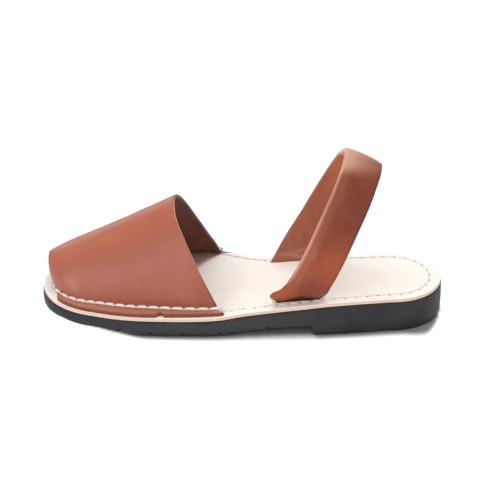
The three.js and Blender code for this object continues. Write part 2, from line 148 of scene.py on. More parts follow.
def marks(rows: Rows, along: Array, other: Array) -> Array:
    """Soft marks on a surface, added up: each is a bell across a leaning line.

    Args:
        rows: for each mark its height, its line's place, the line's lean with the
            other axis and its width; then, where the mark ends along the line, the
            middle and the reach of a second bell on the other axis.
        along: coordinates across the lines.
        other: coordinates along them.

    Returns:
        The sum of the marks.
    """
    total = np.zeros(np.broadcast(along, other).shape)
    for height, place, lean, width, *span in rows:
        mark = height * bell(along - place - lean * other, width)
        total += mark * bell(other - span[0], span[1]) if span else mark
    return total


def held(**values: Array) -> dict[str, Array]:
    """Named values, each held between 0 and 1."""
    return {name: np.clip(value, 0, 1) for name, value in values.items()}


def mirrored(side: Array, middle: float, count: int) -> Array:
    """Numbers of one side, a middle number some times over, and the side reversed."""
    return np.concatenate([side, np.full(count, float(middle)), side[::-1]])


def cells_of(index: Array) -> Array:
    """The four corners of each cell of a grid of point numbers."""
    return np.stack([index[:-1, :-1], index[1:, :-1], index[1:, 1:], index[:-1, 1:]], -1)


def linked(name: str, data: ID) -> Object:
    """A new object with its data, linked to the scene.

    Args:
        name: the object's name.
        data: its mesh, lamp or camera.

    Returns:
        The object.
    """
    thing = bpy.data.objects.new(name, data)
    bpy.context.scene.collection.objects.link(thing)
    return thing


def hung(name: str, data: ID, place: Vector, back: Vector) -> Object:
    """A new lamp or camera at a place, with its back turned one way.

    Args:
        name: the object's name.
        data: the lamp or the camera.
        place: where it stands, in metres.
        back: the way that its back is turned.

    Returns:
        The object.
    """
    thing = linked(name, data)
    thing.location = place
    thing.rotation_euler = back.to_track_quat("Z", "Y").to_euler()
    return thing


@dataclass
class Skin:
    """A mesh put together from grids of points, in millimetres.

    Each grid brings its faces' material slots and its points' named values, and the
    grids are welded where they meet.
    """

    points: list[Array] = field(default_factory=list)
    quads: list[Array] = field(default_factory=list)
    slots: list[Array] = field(default_factory=list)
    values: list[dict[str, Array]] = field(default_factory=list)

    def add(self, grid: Array, slots: Array | int = 0, loop: bool = False, **values: Array) -> None:
        """Adds one grid.

        Args:
            grid: rows x columns x 3 points.
            slots: one material slot, or one for each quad.
            loop: whether each row closes on itself.
            values: named values for the points, rows x columns; 0 where not given.
        """
        rows, columns = grid.shape[:2]
        start = sum(len(p) for p in self.points)
        index = start + np.arange(rows * columns).reshape(rows, columns)
        if loop:
            index = np.hstack([index, index[:, :1]])
        quads = cells_of(index)
        self.points.append(grid.reshape(-1, 3))
        self.quads.append(quads.reshape(-1, 4))
        spread = np.broadcast_to(np.asarray(slots), quads.shape[:2])
        self.slots.append(spread.reshape(-1))
        self.values.append({name: np.asarray(v, float).reshape(-1) for name, v in values.items()})

    def build(
        self, name: str, finishes: list[Material], crease: float = 38.0, weld: float = 0.004
    ) -> Object:
        """Makes the object.

        Args:
            name: the object's name.
            finishes: its materials, in the order of the slots.
            crease: edges that bend more than this many degrees are shaded sharp.
            weld: points closer than this many millimetres become one.

        Returns:
            The object, linked to the scene and riding on the sandal's one body.
        """
        points = np.concatenate(self.points) - (0, CENTRE_Y, 0)
        quads = np.concatenate(self.quads).astype(np.int32)
        mesh = bpy.data.meshes.new(name)
        mesh.vertices.add(len(points))
        mesh.vertices.foreach_set("co", (points * MM).astype(np.float32).ravel())
        mesh.loops.add(quads.size)
        mesh.loops.foreach_set("vertex_index", quads.ravel())
        mesh.polygons.add(len(quads))
        mesh.polygons.foreach_set("loop_start", np.arange(0, quads.size, 4, dtype=np.int32))
        mesh.polygons.foreach_set("material_index", np.concatenate(self.slots).astype(np.int32))
        for key in sorted({key for value in self.values for key in value}):
            parts = [v.get(key, np.zeros(len(p))) for v, p in zip(self.values, self.points)]
            layer = mesh.attributes.new(key, "FLOAT", "POINT")
            layer.data.foreach_set("value", np.concatenate(parts).astype(np.float32))
        mesh.update(calc_edges=True)
        for finish in finishes:
            mesh.materials.append(finish)
        shape = bmesh.new()
        shape.from_mesh(mesh)
        bmesh.ops.remove_doubles(shape, verts=shape.verts, dist=weld * MM)
        bmesh.ops.dissolve_degenerate(shape, edges=shape.edges, dist=weld * MM * 0.1)
        bmesh.ops.recalc_face_normals(shape, faces=shape.faces)
        shape.to_mesh(mesh)
        shape.free()
        mesh.polygons.foreach_set("use_smooth", np.ones(len(mesh.polygons), bool))
        mesh.set_sharp_from_angle(angle=np.radians(crease))
        mesh.validate()
        piece = linked(name, mesh)
        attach(piece, "root")
        return piece


def leather_wall(
    middle: Array,
    thickness: float,
    rounding: Rows,
    edges: dict[str, Array | int],
    values: dict[str, Array],
) -> Skin:
    """A leather of even thickness about a grid of points, with rounded cut edges.

    Both faces lie half a thickness off the middle along its normal. Past each border
    the middle goes on outwards by small steps while the half thickness shrinks to
    nothing, so the two faces close on each other.

    Args:
        middle: rows x columns x 3 points in the middle of the leather.
        thickness: the leather's thickness.
        rounding: steps of the cut edge: how far out, and the share of the thickness.
        edges: the slot of the cut at the "first" and "last" row and at both "sides".
        values: named values of the points, rows x columns.

    Returns:
        The closed skin.
    """
    normals = grid_normals(middle)
    rows, columns = middle.shape[:2]
    steps = len(rounding)
    out, share = np.array(rounding).T
    down = unit(middle[0] - middle[1])
    up = unit(middle[-1] - middle[-2])
    first = middle[0] + out[::-1, None, None] * down
    last = middle[-1] + out[:, None, None] * up
    tall = np.concatenate([first, middle, last])
    left = unit(tall[:, 0] - tall[:, 1])
    right = unit(tall[:, -1] - tall[:, -2])
    before = tall[:, :1] + out[::-1, None] * left[:, None]
    after = tall[:, -1:] + out[:, None] * right[:, None]
    whole = np.concatenate([before, tall, after], 1)
    normals = np.pad(normals, ((steps, steps), (steps, steps), (0, 0)), "edge")
    row_share = np.concatenate([share[::-1], np.ones(rows), share])
    column_share = np.concatenate([share[::-1], np.ones(columns), share])
    factor = np.minimum(row_share[:, None], column_share[None, :])
    cut = np.full((rows + 2 * steps - 1, columns + 2 * steps - 1), -1)
    cut[:, :steps] = edges["sides"]
    cut[:, -steps:] = edges["sides"]
    cut[:steps] = edges["first"]
    cut[-steps:] = edges["last"]
    padded = {key: np.pad(value, steps, "edge") for key, value in values.items()}
    skin = Skin()
    for side, slot in ((1, Face.GRAIN), (-1, Face.FLESH)):
        face = whole + side * (thickness / 2 * factor)[..., None] * normals
        if side > 0:
            rim = cut.copy()
            rim[steps - 3 : steps, steps:-steps] = -1
            rim[-steps : 3 - steps, steps:-steps] = -1
        else:
            rim = cut[:, ::-1]
            face = face[:, ::-1]
            padded = {key: value[:, ::-1] for key, value in padded.items()}
        skin.add(face, np.where(rim < 0, slot, rim), **padded)
    return skin


@dataclass
class Nodes:
    """A material's node tree, with short calls for the nodes in use here."""

    material: Material

    @classmethod
    def new(cls, name: str) -> "Nodes":
        """A new material with its tree, and only the shader and output in it.

        Args:
            name: the material's name.

        Returns:
            Its nodes.
        """
        material = bpy.data.materials.new(name)
        material.use_nodes = True
        return cls(material)

    @property
    def shader(self) -> Node:
        """The material's main shader."""
        return self.material.node_tree.nodes["Principled BSDF"]

    def put(self, kind: str, inputs: dict | None = None, **settings: object) -> Node:
        """Adds a node, with its settings, and its inputs linked or set.

        Args:
            kind: the node's type.
            inputs: by the input's name or number, a socket to link or a value.
            settings: the node's own properties.

        Returns:
            The node.
        """
        node = self.material.node_tree.nodes.new(kind)
        for key, value in settings.items():
            setattr(node, key, value)
        for key, value in (inputs or {}).items():
            self.join(value, node.inputs[key])
        return node

    def join(self, value: object, socket: NodeSocket) -> None:
        """Links a socket to an input, or sets the input's own value.

        Args:
            value: a socket, a number or a colour.
            socket: the input.
        """
        if isinstance(value, NodeSocket):
            self.material.node_tree.links.new(value, socket)
        else:
            socket.default_value = value

    def place(self) -> NodeSocket:
        """The object's own coordinates, in metres."""
        return self.put("ShaderNodeTexCoord").outputs["Object"]

    def value(self, name: str) -> NodeSocket:
        """A named value of the mesh's points."""
        return self.put("ShaderNodeAttribute", attribute_name=name).outputs["Fac"]

    def noise(self, scale: float, detail: float = 4, rough: float = 0.55, twist: float = 0) -> NodeSocket:
        """A noise pattern over the object's coordinates, from 0 to 1.

        Args:
            scale: waves to the metre.
            detail: octaves.
            rough: how strong each finer octave is.
            twist: how far the pattern is distorted.

        Returns:
            The pattern's socket.
        """
        inputs = {"Vector": self.place(), "Scale": scale, "Detail": detail}
        inputs |= {"Roughness": rough, "Distortion": twist}
        return self.put("ShaderNodeTexNoise", inputs).outputs["Fac"]

    def cells(self, scale: float) -> NodeSocket:
        """Distances to the nearest points of a cell pattern."""
        inputs = {"Vector": self.place(), "Scale": scale}
        return self.put("ShaderNodeTexVoronoi", inputs).outputs["Distance"]

    def spread(
        self, value: object, low: float, high: float, to_low: float = 0, to_high: float = 1
    ) -> NodeSocket:
        """A value's range from low to high brought to another range, and held to it."""
        inputs = {"Value": value, 1: low, 2: high, 3: to_low, 4: to_high}
        return self.put("ShaderNodeMapRange", inputs).outputs["Result"]

    def sum(self, kind: str, a: object, b: object) -> NodeSocket:
        """One step of arithmetic on two numbers."""
        return self.put("ShaderNodeMath", {0: a, 1: b}, operation=kind).outputs[0]

    def mix(self, factor: object, a: object, b: object) -> NodeSocket:
        """Two colours mixed by a factor.

        Args:
            factor: 0 for the first to 1 for the second.
            a: the first.
            b: the second.

        Returns:
            The mixed colour's socket.
        """
        node = self.put("ShaderNodeMix", data_type="RGBA")
        colours = [socket for socket in node.inputs if socket.type == "RGBA"]
        self.join(factor, node.inputs[0])
        for colour, socket in zip((a, b), colours):
            self.join(colour if isinstance(colour, NodeSocket) else (*colour, 1), socket)
        return next(socket for socket in node.outputs if socket.type == "RGBA")

    def clouds(self, pattern: object, low: float, high: float, a: Colour, b: Colour) -> NodeSocket:
        """Two colours in clouds: the second where a pattern is high."""
        return self.mix(self.spread(pattern, low, high), a, b)

    def bump(self, height: object, distance: float, strength: float, under: object = None) -> NodeSocket:
        """A bump of a height in metres, on top of another bump.

        Args:
            height: the pattern that is raised.
            distance: how high it is at 1, in metres.
            strength: the share of it that is used.
            under: the bump below it.

        Returns:
            The normal's socket.
        """
        inputs = {"Height": height, "Distance": distance, "Strength": strength}
        if under is not None:
            inputs["Normal"] = under
        return self.put("ShaderNodeBump", inputs).outputs["Normal"]

    def dress(self, **sockets: object) -> Material:
        """Sets the shader's sockets by name, with underscores for spaces.

        Args:
            sockets: for each of the shader's inputs a socket or a value.

        Returns:
            The material.
        """
        for key, value in sockets.items():
            socket = self.shader.inputs[key.replace("_", " ")]
            if isinstance(value, tuple) and len(value) == 3:
                value = (*value, 1)
            self.join(value, socket)
        return self.material


@dataclass(frozen=True)
class Finish:
    """A material's name, and its main colour and deeper one in linear light."""

    name: str
    colour: Colour
    deep: Colour


@dataclass(frozen=True)
class GrainLeather(Finish):
    """Smooth vegetable-tanned leather: mottled colour, fine pores and a satin gloss."""

    # the colour of pale streaks, and of painted light
    light: Colour
    warm: Colour
    roughness: float = 0.42
    shine: float = 0.35
    pore: float = 1500.0
    pore_depth: float = 0.00005

    def material(self) -> Material:
        """The leather: colour by clouds of dye, by painted light, by painted shade and other darkening,
        and by pores.

        Returns:
            The material.
        """
        n = Nodes.new(self.name)
        colour = n.clouds(n.noise(24, 3, 0.5), 0.3, 0.72, self.deep, self.colour)
        streaks = n.spread(n.noise(140, 3, 0.5, 0.6), 0.45, 0.85, 0, 0.1)
        colour = n.mix(streaks, colour, self.light)
        patches = n.spread(n.noise(55, 4, 0.55, 0.3), 0.35, 0.6, 0.35, 1)
        blush = n.sum("MULTIPLY", n.value("warm"), patches)
        colour = n.mix(blush, colour, self.warm)
        # painted light: sheen, highlights and lit faces, where the point value says
        colour = n.mix(n.value("worn"), colour, self.light)
        # the deepest colour, for painted shade and other darkening where the point value dark says
        deepest = tuple(0.6 * tone for tone in self.deep)
        colour = n.mix(n.value("dark"), colour, deepest)
        pores = n.cells(self.pore)
        specks = n.spread(pores, 0.0, 0.22, 0.3, 0)
        colour = n.mix(specks, colour, self.deep)
        rough = n.spread(n.noise(90, 4, 0.6), 0.3, 0.7, self.roughness - 0.05, self.roughness + 0.07)
        normal = n.bump(n.noise(420, 6, 0.62, 0.4), 0.00022, 0.5)
        normal = n.bump(n.spread(pores, 0, 0.35), self.pore_depth, 0.45, normal)
        return n.dress(
            Base_Color=colour,
            Roughness=rough,
            Normal=normal,
            Specular_IOR_Level=self.shine,
            Coat_Weight=0.1,
            Coat_Roughness=0.3,
        )


@dataclass(frozen=True)
class FleshLeather(Finish):
    """The inside of a leather: short matt nap."""

    def material(self) -> Material:
        """The nap: fine fibres in bump and colour, and no gloss.

        Returns:
            The material.
        """
        n = Nodes.new(self.name)
        fibres = n.noise(1400, 6, 0.75, 0.8)
        colour = n.clouds(n.noise(120), 0.3, 0.7, self.deep, self.colour)
        colour = n.mix(n.spread(fibres, 0.4, 0.75, 0, 0.35), colour, self.colour)
        return n.dress(
            Base_Color=colour,
            Roughness=0.88,
            Normal=n.bump(fibres, 0.00025, 0.7),
            Specular_IOR_Level=0.2,
            Sheen_Weight=0.12,
            Sheen_Roughness=0.6,
        )


@dataclass(frozen=True)
class CutEdge(Finish):
    """The cut edge of a leather, with its packed fibres."""

    roughness: float = 0.7
    # the colour of painted shade and darkening, laid on where the point value dark says
    shade: Colour = (0.12, 0.035, 0.02)

    def material(self) -> Material:
        """Layers of fibre along the cut, in colour and in bump, and painted shade where the point value
        dark says.

        Returns:
            The material.
        """
        n = Nodes.new(self.name)
        layers = n.noise(900, 5, 0.7, 0.5)
        colour = n.clouds(layers, 0.35, 0.65, self.deep, self.colour)
        # painted shade along the vamp's throat rim, and darkening of the strap's edges
        colour = n.mix(n.value("dark"), colour, self.shade)
        return n.dress(
            Base_Color=colour,
            Roughness=self.roughness,
            Normal=n.bump(layers, 0.0002, 0.6),
            Specular_IOR_Level=0.3,
        )


@dataclass(frozen=True)
class PaleInsole(Finish):
    """Undyed insole leather, with painted shade in the punched holes of its seam."""

    hole_shade: Colour = (0.05, 0.035, 0.03)
    # the brown of the painted shadow under the vamp, with its painted reddish reflected light
    under: Colour = (0.25, 0.115, 0.078)
    pitch: float = 7.1

    def material(self) -> Material:
        """Pale leather: faint clouds and pores, painted shade in a hole at each stitch's end, and
        the painted shadow under the vamp.

        The point value "count" numbers the holes along the seam and "off" is the
        distance from it in millimetres, so a hole is where both are near a whole
        number and 0.

        Returns:
            The material.
        """
        n = Nodes.new(self.name)
        colour = n.clouds(n.noise(45, 5, 0.6), 0.35, 0.7, self.deep, self.colour)
        pores = n.cells(1300)
        colour = n.mix(n.spread(pores, 0, 0.2, 0.12, 0), colour, self.deep)
        nearest = n.sum("PINGPONG", n.value("count"), 0.5)
        along = n.sum("MULTIPLY", nearest, self.pitch)
        beside = n.sum("POWER", n.value("off"), 2.0)
        squares = n.sum("ADD", n.sum("POWER", n.sum("DIVIDE", along, 1.25), 2.0), beside)
        # painted shade in each stitch hole
        colour = n.mix(n.spread(squares, 0.1, 0.9, 0.9, 0), colour, self.hole_shade)
        # painted shadow and painted reflected light under the vamp
        colour = n.mix(n.value("shade"), colour, self.under)
        normal = n.bump(n.noise(300, 6, 0.6, 0.5), 0.0002, 0.4)
        normal = n.bump(n.spread(pores, 0, 0.3), 0.00004, 0.4, normal)
        return n.dress(
            Base_Color=colour,
            Roughness=n.spread(n.noise(80), 0.3, 0.7, 0.5, 0.62),
            Normal=normal,
            Specular_IOR_Level=0.35,
            Sheen_Weight=0.05,
            Sheen_Roughness=0.5,
        )


@dataclass(frozen=True)
class MouldedRubber(Finish):
    """Near-black moulded rubber with a fine matt bloom."""

    bloom: Colour = (0.03, 0.031, 0.034)

    def material(self) -> Material:
        """Satin rubber: a faint grey bloom, a lighter grey towards the ball, painted shade in the grooves
        and steps, and the grain of the mould.

        Returns:
            The material.
        """
        n = Nodes.new(self.name)
        bloom = n.spread(n.noise(60, 6, 0.65), 0.4, 0.75)
        colour = n.mix(n.sum("MULTIPLY", bloom, 0.6), self.colour, self.bloom)
        # lighter grey where the point value says, towards the ball
        colour = n.mix(n.value("dusty"), colour, self.bloom)
        # painted shade where the point value dark says: in the grooves and toe steps
        colour = n.mix(n.spread(n.value("dark"), 0, 1, 0, 0.9), colour, self.deep)
        return n.dress(
            Base_Color=colour,
            Roughness=n.spread(n.noise(200), 0.3, 0.7, 0.5, 0.64),
            Normal=n.bump(n.noise(2600, 3, 0.6), 0.00008, 0.5),
            Specular_IOR_Level=0.3,
        )


@dataclass(frozen=True)
class WaxedThread(Finish):
    """Thick waxed white thread."""

    # the colour of the painted shade at the thread's ends
    hole_shade: Colour = (0.25, 0.17, 0.12)

    def material(self) -> Material:
        """The thread: fibre noise, and painted shade where it goes down into its holes.

        Returns:
            The material.
        """
        n = Nodes.new(self.name)
        fibres = n.noise(2200, 4, 0.7, 1.0)
        colour = n.clouds(fibres, 0.35, 0.7, self.deep, self.colour)
        # painted shade towards each stitch's ends
        colour = n.mix(n.spread(n.value("dark"), 0, 1, 0, 0.75), colour, self.hole_shade)
        return n.dress(
            Base_Color=colour,
            Roughness=0.66,
            Normal=n.bump(fibres, 0.00018, 0.7),
            Specular_IOR_Level=0.35,
            Sheen_Weight=0.15,
            Sheen_Roughness=0.4,
        )


@dataclass(frozen=True)
class Last:
    """Plan and heights that every piece is worked out from."""

    # half the length, and the lengths that the rounded toe and heel take up
    half: float = 128.8
    toe_round: float = 32.0
    heel_round: float = 30.0
    # clearance between two pieces, and the insole's thickness
    gap: float = 0.3
    insole: float = 2.5
    # top and bottom X of the heel's sloping front, and its height
    breast: Triple = (43.5, 46.0, 6.6)
    # X, breadth on the outer side and on the inner side
    breadths: Rows = (
        (-128.8, 37.4, 37.5), (-100, 38, 41.5), (-80, 41.2, 46), (-60, 42.8, 50.2), (-40, 43.2, 53),
        (-24, 43.3, 53), (-8, 42.2, 47.2), (5, 41.6, 38.6), (18, 41.6, 31.4), (35, 41.8, 27.4),
        (55, 40.4, 25.8), (75, 38.2, 26), (95, 35.6, 27.6), (128.8, 33, 28),
    )
    # X, height of the outsole's upper face
    bed_rows: Rows = (
        (-128.8, 15), (-110, 13.7), (-90, 11.6), (-65, 10.4), (-40, 10.2), (-15, 10.9), (0, 13.1),
        (20, 15.9), (40, 18.4), (60, 19.8), (80, 20.2), (128.8, 20.2),
    )
    # X, height of the tread
    tread_rows: Rows = (
        (-128.8, 6.2), (-117, 6.9), (-100, 5.3), (-80, 2.75), (-62, 0.7), (-50, 0), (-9, 0), (0, 2.2),
        (20, 4.9), (43.5, 6.6),
    )
    # X, inset of the stitch line on the outer side and on the inner side
    stitch_rows: Rows = (
        (-128.8, 6.8, 6.8), (-117, 7.4, 7.2), (-105, 9, 7.6), (-83, 10.9, 7.4), (-63, 10.9, 6.6),
        (-40, 9.6, 5.4), (-16, 8.1, 4.5), (0, 6.6, 5.5), (25, 6.3, 5), (90, 6.6, 4.6), (115, 7, 5.8),
        (128.8, 7.4, 7.4),
    )

    def outline_y(self, x: Array, side: Array | int) -> Array:
        """The outline's Y: two breadths, with the toe and the heel rounded as ellipses.

        Args:
            x: places along the sole.
            side: -1 for the outer side, 1 for the inner one.

        Returns:
            The Y at each place.
        """
        outer = through(self.breadths, x, 1)
        inner = through(self.breadths, x, 2)
        toe = np.clip((self.toe_round - self.half - x) / self.toe_round, 0, 1)
        heel = np.clip((x - self.half + self.heel_round) / self.heel_round, 0, 1)
        rounding = np.sqrt(1 - toe**2) * np.sqrt(1 - heel**2)
        return (inner - outer) / 2 + side * rounding * (inner + outer) / 2

    def outline(self, turn: Array, inset: Array | float = 0.0) -> Array:
        """Points of the outline, moved inwards along its normal.

        Args:
            turn: 0 at the toe, along the outer side to 1 at the heel, on to 2.
            inset: how far inwards.

        Returns:
            Points x 2.
        """

        def at(s: Array) -> Array:
            w = np.mod(s, 2)
            x = -np.cos(np.pi * w) * self.half
            return np.stack([x, self.outline_y(x, np.where(w <= 1, -1, 1))], -1)

        turn = np.asarray(turn, float)
        along = unit(at(turn + 1e-3) - at(turn - 1e-3))
        inwards = np.stack([-along[..., 1], along[..., 0]], -1)
        return at(turn) + inwards * np.asarray(inset)[..., None]

    def turn_at(self, x: Array | float) -> Array:
        """The turn on the outer side at one X."""
        return np.arccos(-np.asarray(x) / self.half) / np.pi

    def bed(self, x: Array) -> Array:
        """Height of the outsole's upper face."""
        return through(self.bed_rows, x)

    def footbed(self, x: Array) -> Array:
        """Height of the insole's upper face."""
        return self.bed(x) + self.gap + self.insole

    def tread(self, x: Array) -> Array:
        """Height of the tread: the table, then the heel's breast and the floor.

        Args:
            x: places along the sole.

        Returns:
            The height at each place.
        """
        top, bottom, height = self.breast
        fall = np.clip((bottom - x) / (bottom - top), 0, 1) * height
        return np.where(x <= top, through(self.tread_rows, x), fall)

    def seam(self, turn: Array, inwards: float = 0.0) -> Array:
        """Points of the stitch line in plan, moved further inwards.

        Args:
            turn: as for the outline.
            inwards: how much further from the edge.

        Returns:
            Points x 2.
        """
        x = self.outline(turn)[..., 0]
        outer = np.mod(turn, 2) <= 1
        inset = np.where(outer, through(self.stitch_rows, x, 1), through(self.stitch_rows, x, 2))
        return self.outline(turn, inset + inwards)

    def seam_y(self, x: Array, side: int, inwards: float = 0.0) -> Array:
        """The stitch line's Y at each X, on one side.

        Args:
            x: places along the sole.
            side: the side.
            inwards: how much further in.

        Returns:
            The Y at each place.
        """
        s = np.linspace(0.02, 0.98, 3001)
        points = self.seam(s if side < 0 else 2 - s, inwards)
        return np.interp(x, points[:, 0], points[:, 1])


LAST = Last()


def sole_columns(turns: Array, insets: Array, across: int) -> tuple[Array, Array]:
    """Ring points on both sides of the sole, and straight lines between the last ones.

    Args:
        turns: stations from the toe (0) to the heel (1).
        insets: how far inside the outline each ring lies.
        across: points between the innermost rings, without their ends.

    Returns:
        Plan points, stations x columns x 2, from the outer ring of the outer side to
        that of the inner side; and how far across each point between them lies.
    """
    outer = np.stack([LAST.outline(turns, inset) for inset in insets], 1)
    inner = np.stack([LAST.outline(2 - turns, inset) for inset in insets], 1)
    f = np.linspace(0, 1, across + 2)[1:-1]
    between = outer[:, -1:] * (1 - f)[None, :, None] + inner[:, -1:] * f[None, :, None]
    return np.concatenate([outer, between, inner[:, ::-1]], 1), f


@dataclass
class Outsole:
    """The moulded rubber unit: side wall, cross grooves, steps and tread."""

    finish: MouldedRubber
    # X and depth of each cross groove
    grooves: Rows = (
        (-78, 2.2), (-58, 2.4), (-37, 2.4), (-29.5, 1.6), (-14, 2.4), (-6, 2.2), (16.5, 1.8),
        (116, 2.0),
    )
    groove_width: float = 2.4
    # rear X and depth of each toe step
    steps: Rows = ((-111, 0.9), (-86, 0.7))
    # pockets under the heel: their X, the Y of their middle, and width, length and depth
    pockets: tuple[float, ...] = (60, 71, 91, 102)
    pocket_y: float = -5.0
    pocket_size: Triple = (3.0, 38.0, 2.4)
    stations: int = 520
    across: int = 56
    # how far the side wall swells out
    swell: float = 0.22
    rib_pitch: float = 5.2
    rib_height: float = 0.55
    ribs_end: float = 44.7
    chevron: float = 0.35
    # inset and fall of the small top edge
    top_edge: Rows = ((0, -0.85), (0.08, -0.45), (0.25, -0.15), (0.5, 0), (3, 0))
    # inset and rise of the lower bevel, then of the rings inside it
    bevel: Rows = (
        (0, 1.8), (0.02, 1.5), (0.1, 1.15), (0.25, 0.8), (0.45, 0.5), (0.75, 0.25), (1.15, 0.07),
        (1.6, 0), (2.8, 0), (4.2, 0), (5.8, 0), (7.6, 0),
    )

    def relief(self, x: Array) -> Array:
        """How far the tread is cut away at one X: grooves and the two toe steps.

        Args:
            x: places along the sole.

        Returns:
            The depth at each place.
        """
        cut = np.zeros_like(x)
        half = self.groove_width / 2
        for place, depth in self.grooves:
            cut = np.maximum(cut, depth * np.clip((half + 0.1 - np.abs(x - place)) / 0.2, 0, 1))
        for place, depth in self.steps:
            wide = 2 * self.groove_width
            inside = np.minimum(place - x, x - place + wide) + 0.1
            cut = np.maximum(cut, depth * np.clip(inside / 0.2, 0, 1))
        return cut

    def fine_tread(self, x: Array, y: Array, inner: Array) -> Array:
        """Fine ribs and pockets of the underside, which stay inside its rim.

        Ribs are a raised cosine along X, bent into shallow chevrons, and fade out
        towards the rim. Pockets are boxes with steep sides.

        Args:
            x: places along the sole.
            y: places across it.
            inner: how far inside its rim each place lies, as a share of the breadth.

        Returns:
            The depth at each place.
        """
        wave = 0.5 + 0.5 * np.cos(2 * np.pi * (x + self.chevron * np.abs(y)) / self.rib_pitch)
        ribs = self.rib_height * smooth(1.6 * wave - 0.4) * smooth((inner - 0.12) / 0.06)
        ribs = ribs * (1 - bell(x - self.ribs_end, 4)) * (x <= self.ribs_end)
        width, length, depth = self.pocket_size
        pockets = np.zeros_like(x)
        for place in self.pockets:
            in_x = np.clip((width / 2 + 0.15 - np.abs(x - place)) / 0.3, 0, 1)
            in_y = np.clip((length / 2 + 0.5 - np.abs(y - self.pocket_y)) / 1.0, 0, 1)
            pockets = np.maximum(pockets, depth * np.minimum(in_x, in_y))
        return np.maximum(ribs, pockets)

    def dusty(self, x: Array) -> Array:
        """How much lighter grey the rubber is: most under the ball, and none at the heel."""
        return 0.75 * bell(x + 20, 110)

    def stations_at(self) -> Array:
        """Stations from toe to heel, with close ones at each groove's and step's edge.

        Returns:
            The turns of the stations, in order.
        """
        edges = [LAST.breast[0], LAST.breast[1]]
        for place, _ in self.grooves:
            edges += [place - self.groove_width / 2, place + self.groove_width / 2]
        for place, _ in self.steps:
            edges += [place - 2 * self.groove_width, place]
        for place in self.pockets:
            edges += [place - self.pocket_size[0] / 2, place + self.pocket_size[0] / 2]
        close = np.add.outer((-0.12, 0.12), edges).ravel()
        even = np.linspace(0, 1, self.stations)
        return np.unique(np.concatenate([even, LAST.turn_at(close)]).round(6))

    def build(self) -> Object:
        """Makes the outsole in place of its node.

        Columns go round each cross section: over the bed, round its small top edge,
        down the side, round the lower bevel and across the tread.

        Returns:
            The outsole.
        """
        turns = self.stations_at()
        inset, fall = np.array(self.top_edge).T
        upper, _ = sole_columns(turns, inset, 3)
        z_top = LAST.bed(upper[..., 0]) + mirrored(fall, 0, 3)
        inset, rise = np.array(self.bevel).T
        lower, f = sole_columns(turns, inset, self.across)
        rise = mirrored(rise, 0, self.across)
        x, y = lower[..., 0], lower[..., 1]
        inner = np.pad(np.minimum(f, 1 - f), len(inset))
        cut = self.relief(x)
        rib = self.fine_tread(x, y, inner)
        z_low = LAST.tread(x) + np.maximum(rise, np.maximum(cut, rib * (cut < 0.05)))
        skin = Skin()
        skin.add(np.dstack([upper, z_top]))
        # painted shade in the grooves and toe steps
        dark = np.clip(cut / 1.2, 0, 1)
        dusty = self.dusty(x)
        skin.add(np.dstack([lower, z_low])[:, ::-1], dark=dark[:, ::-1], dusty=dusty[:, ::-1])
        share = np.linspace(0, 1, 8)[None, :, None]
        for column in (0, -1):
            start = np.column_stack([upper[:, column], z_top[:, column]])
            end = np.column_stack([lower[:, column], z_low[:, column]])
            wall = start[:, None] * (1 - share) + end[:, None] * share
            place = turns if column == 0 else 2 - turns
            out = LAST.outline(place) - LAST.outline(place, 1.0)
            wall[..., :2] += out[:, None] * self.swell * np.sin(np.pi * share)
            wall = wall if column == 0 else wall[:, ::-1]
            skin.add(wall, dusty=self.dusty(wall[..., 0]))
        piece = skin.build("outsole_rubber", [self.finish.material()], crease=30)
        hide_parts("outsole")
        return piece


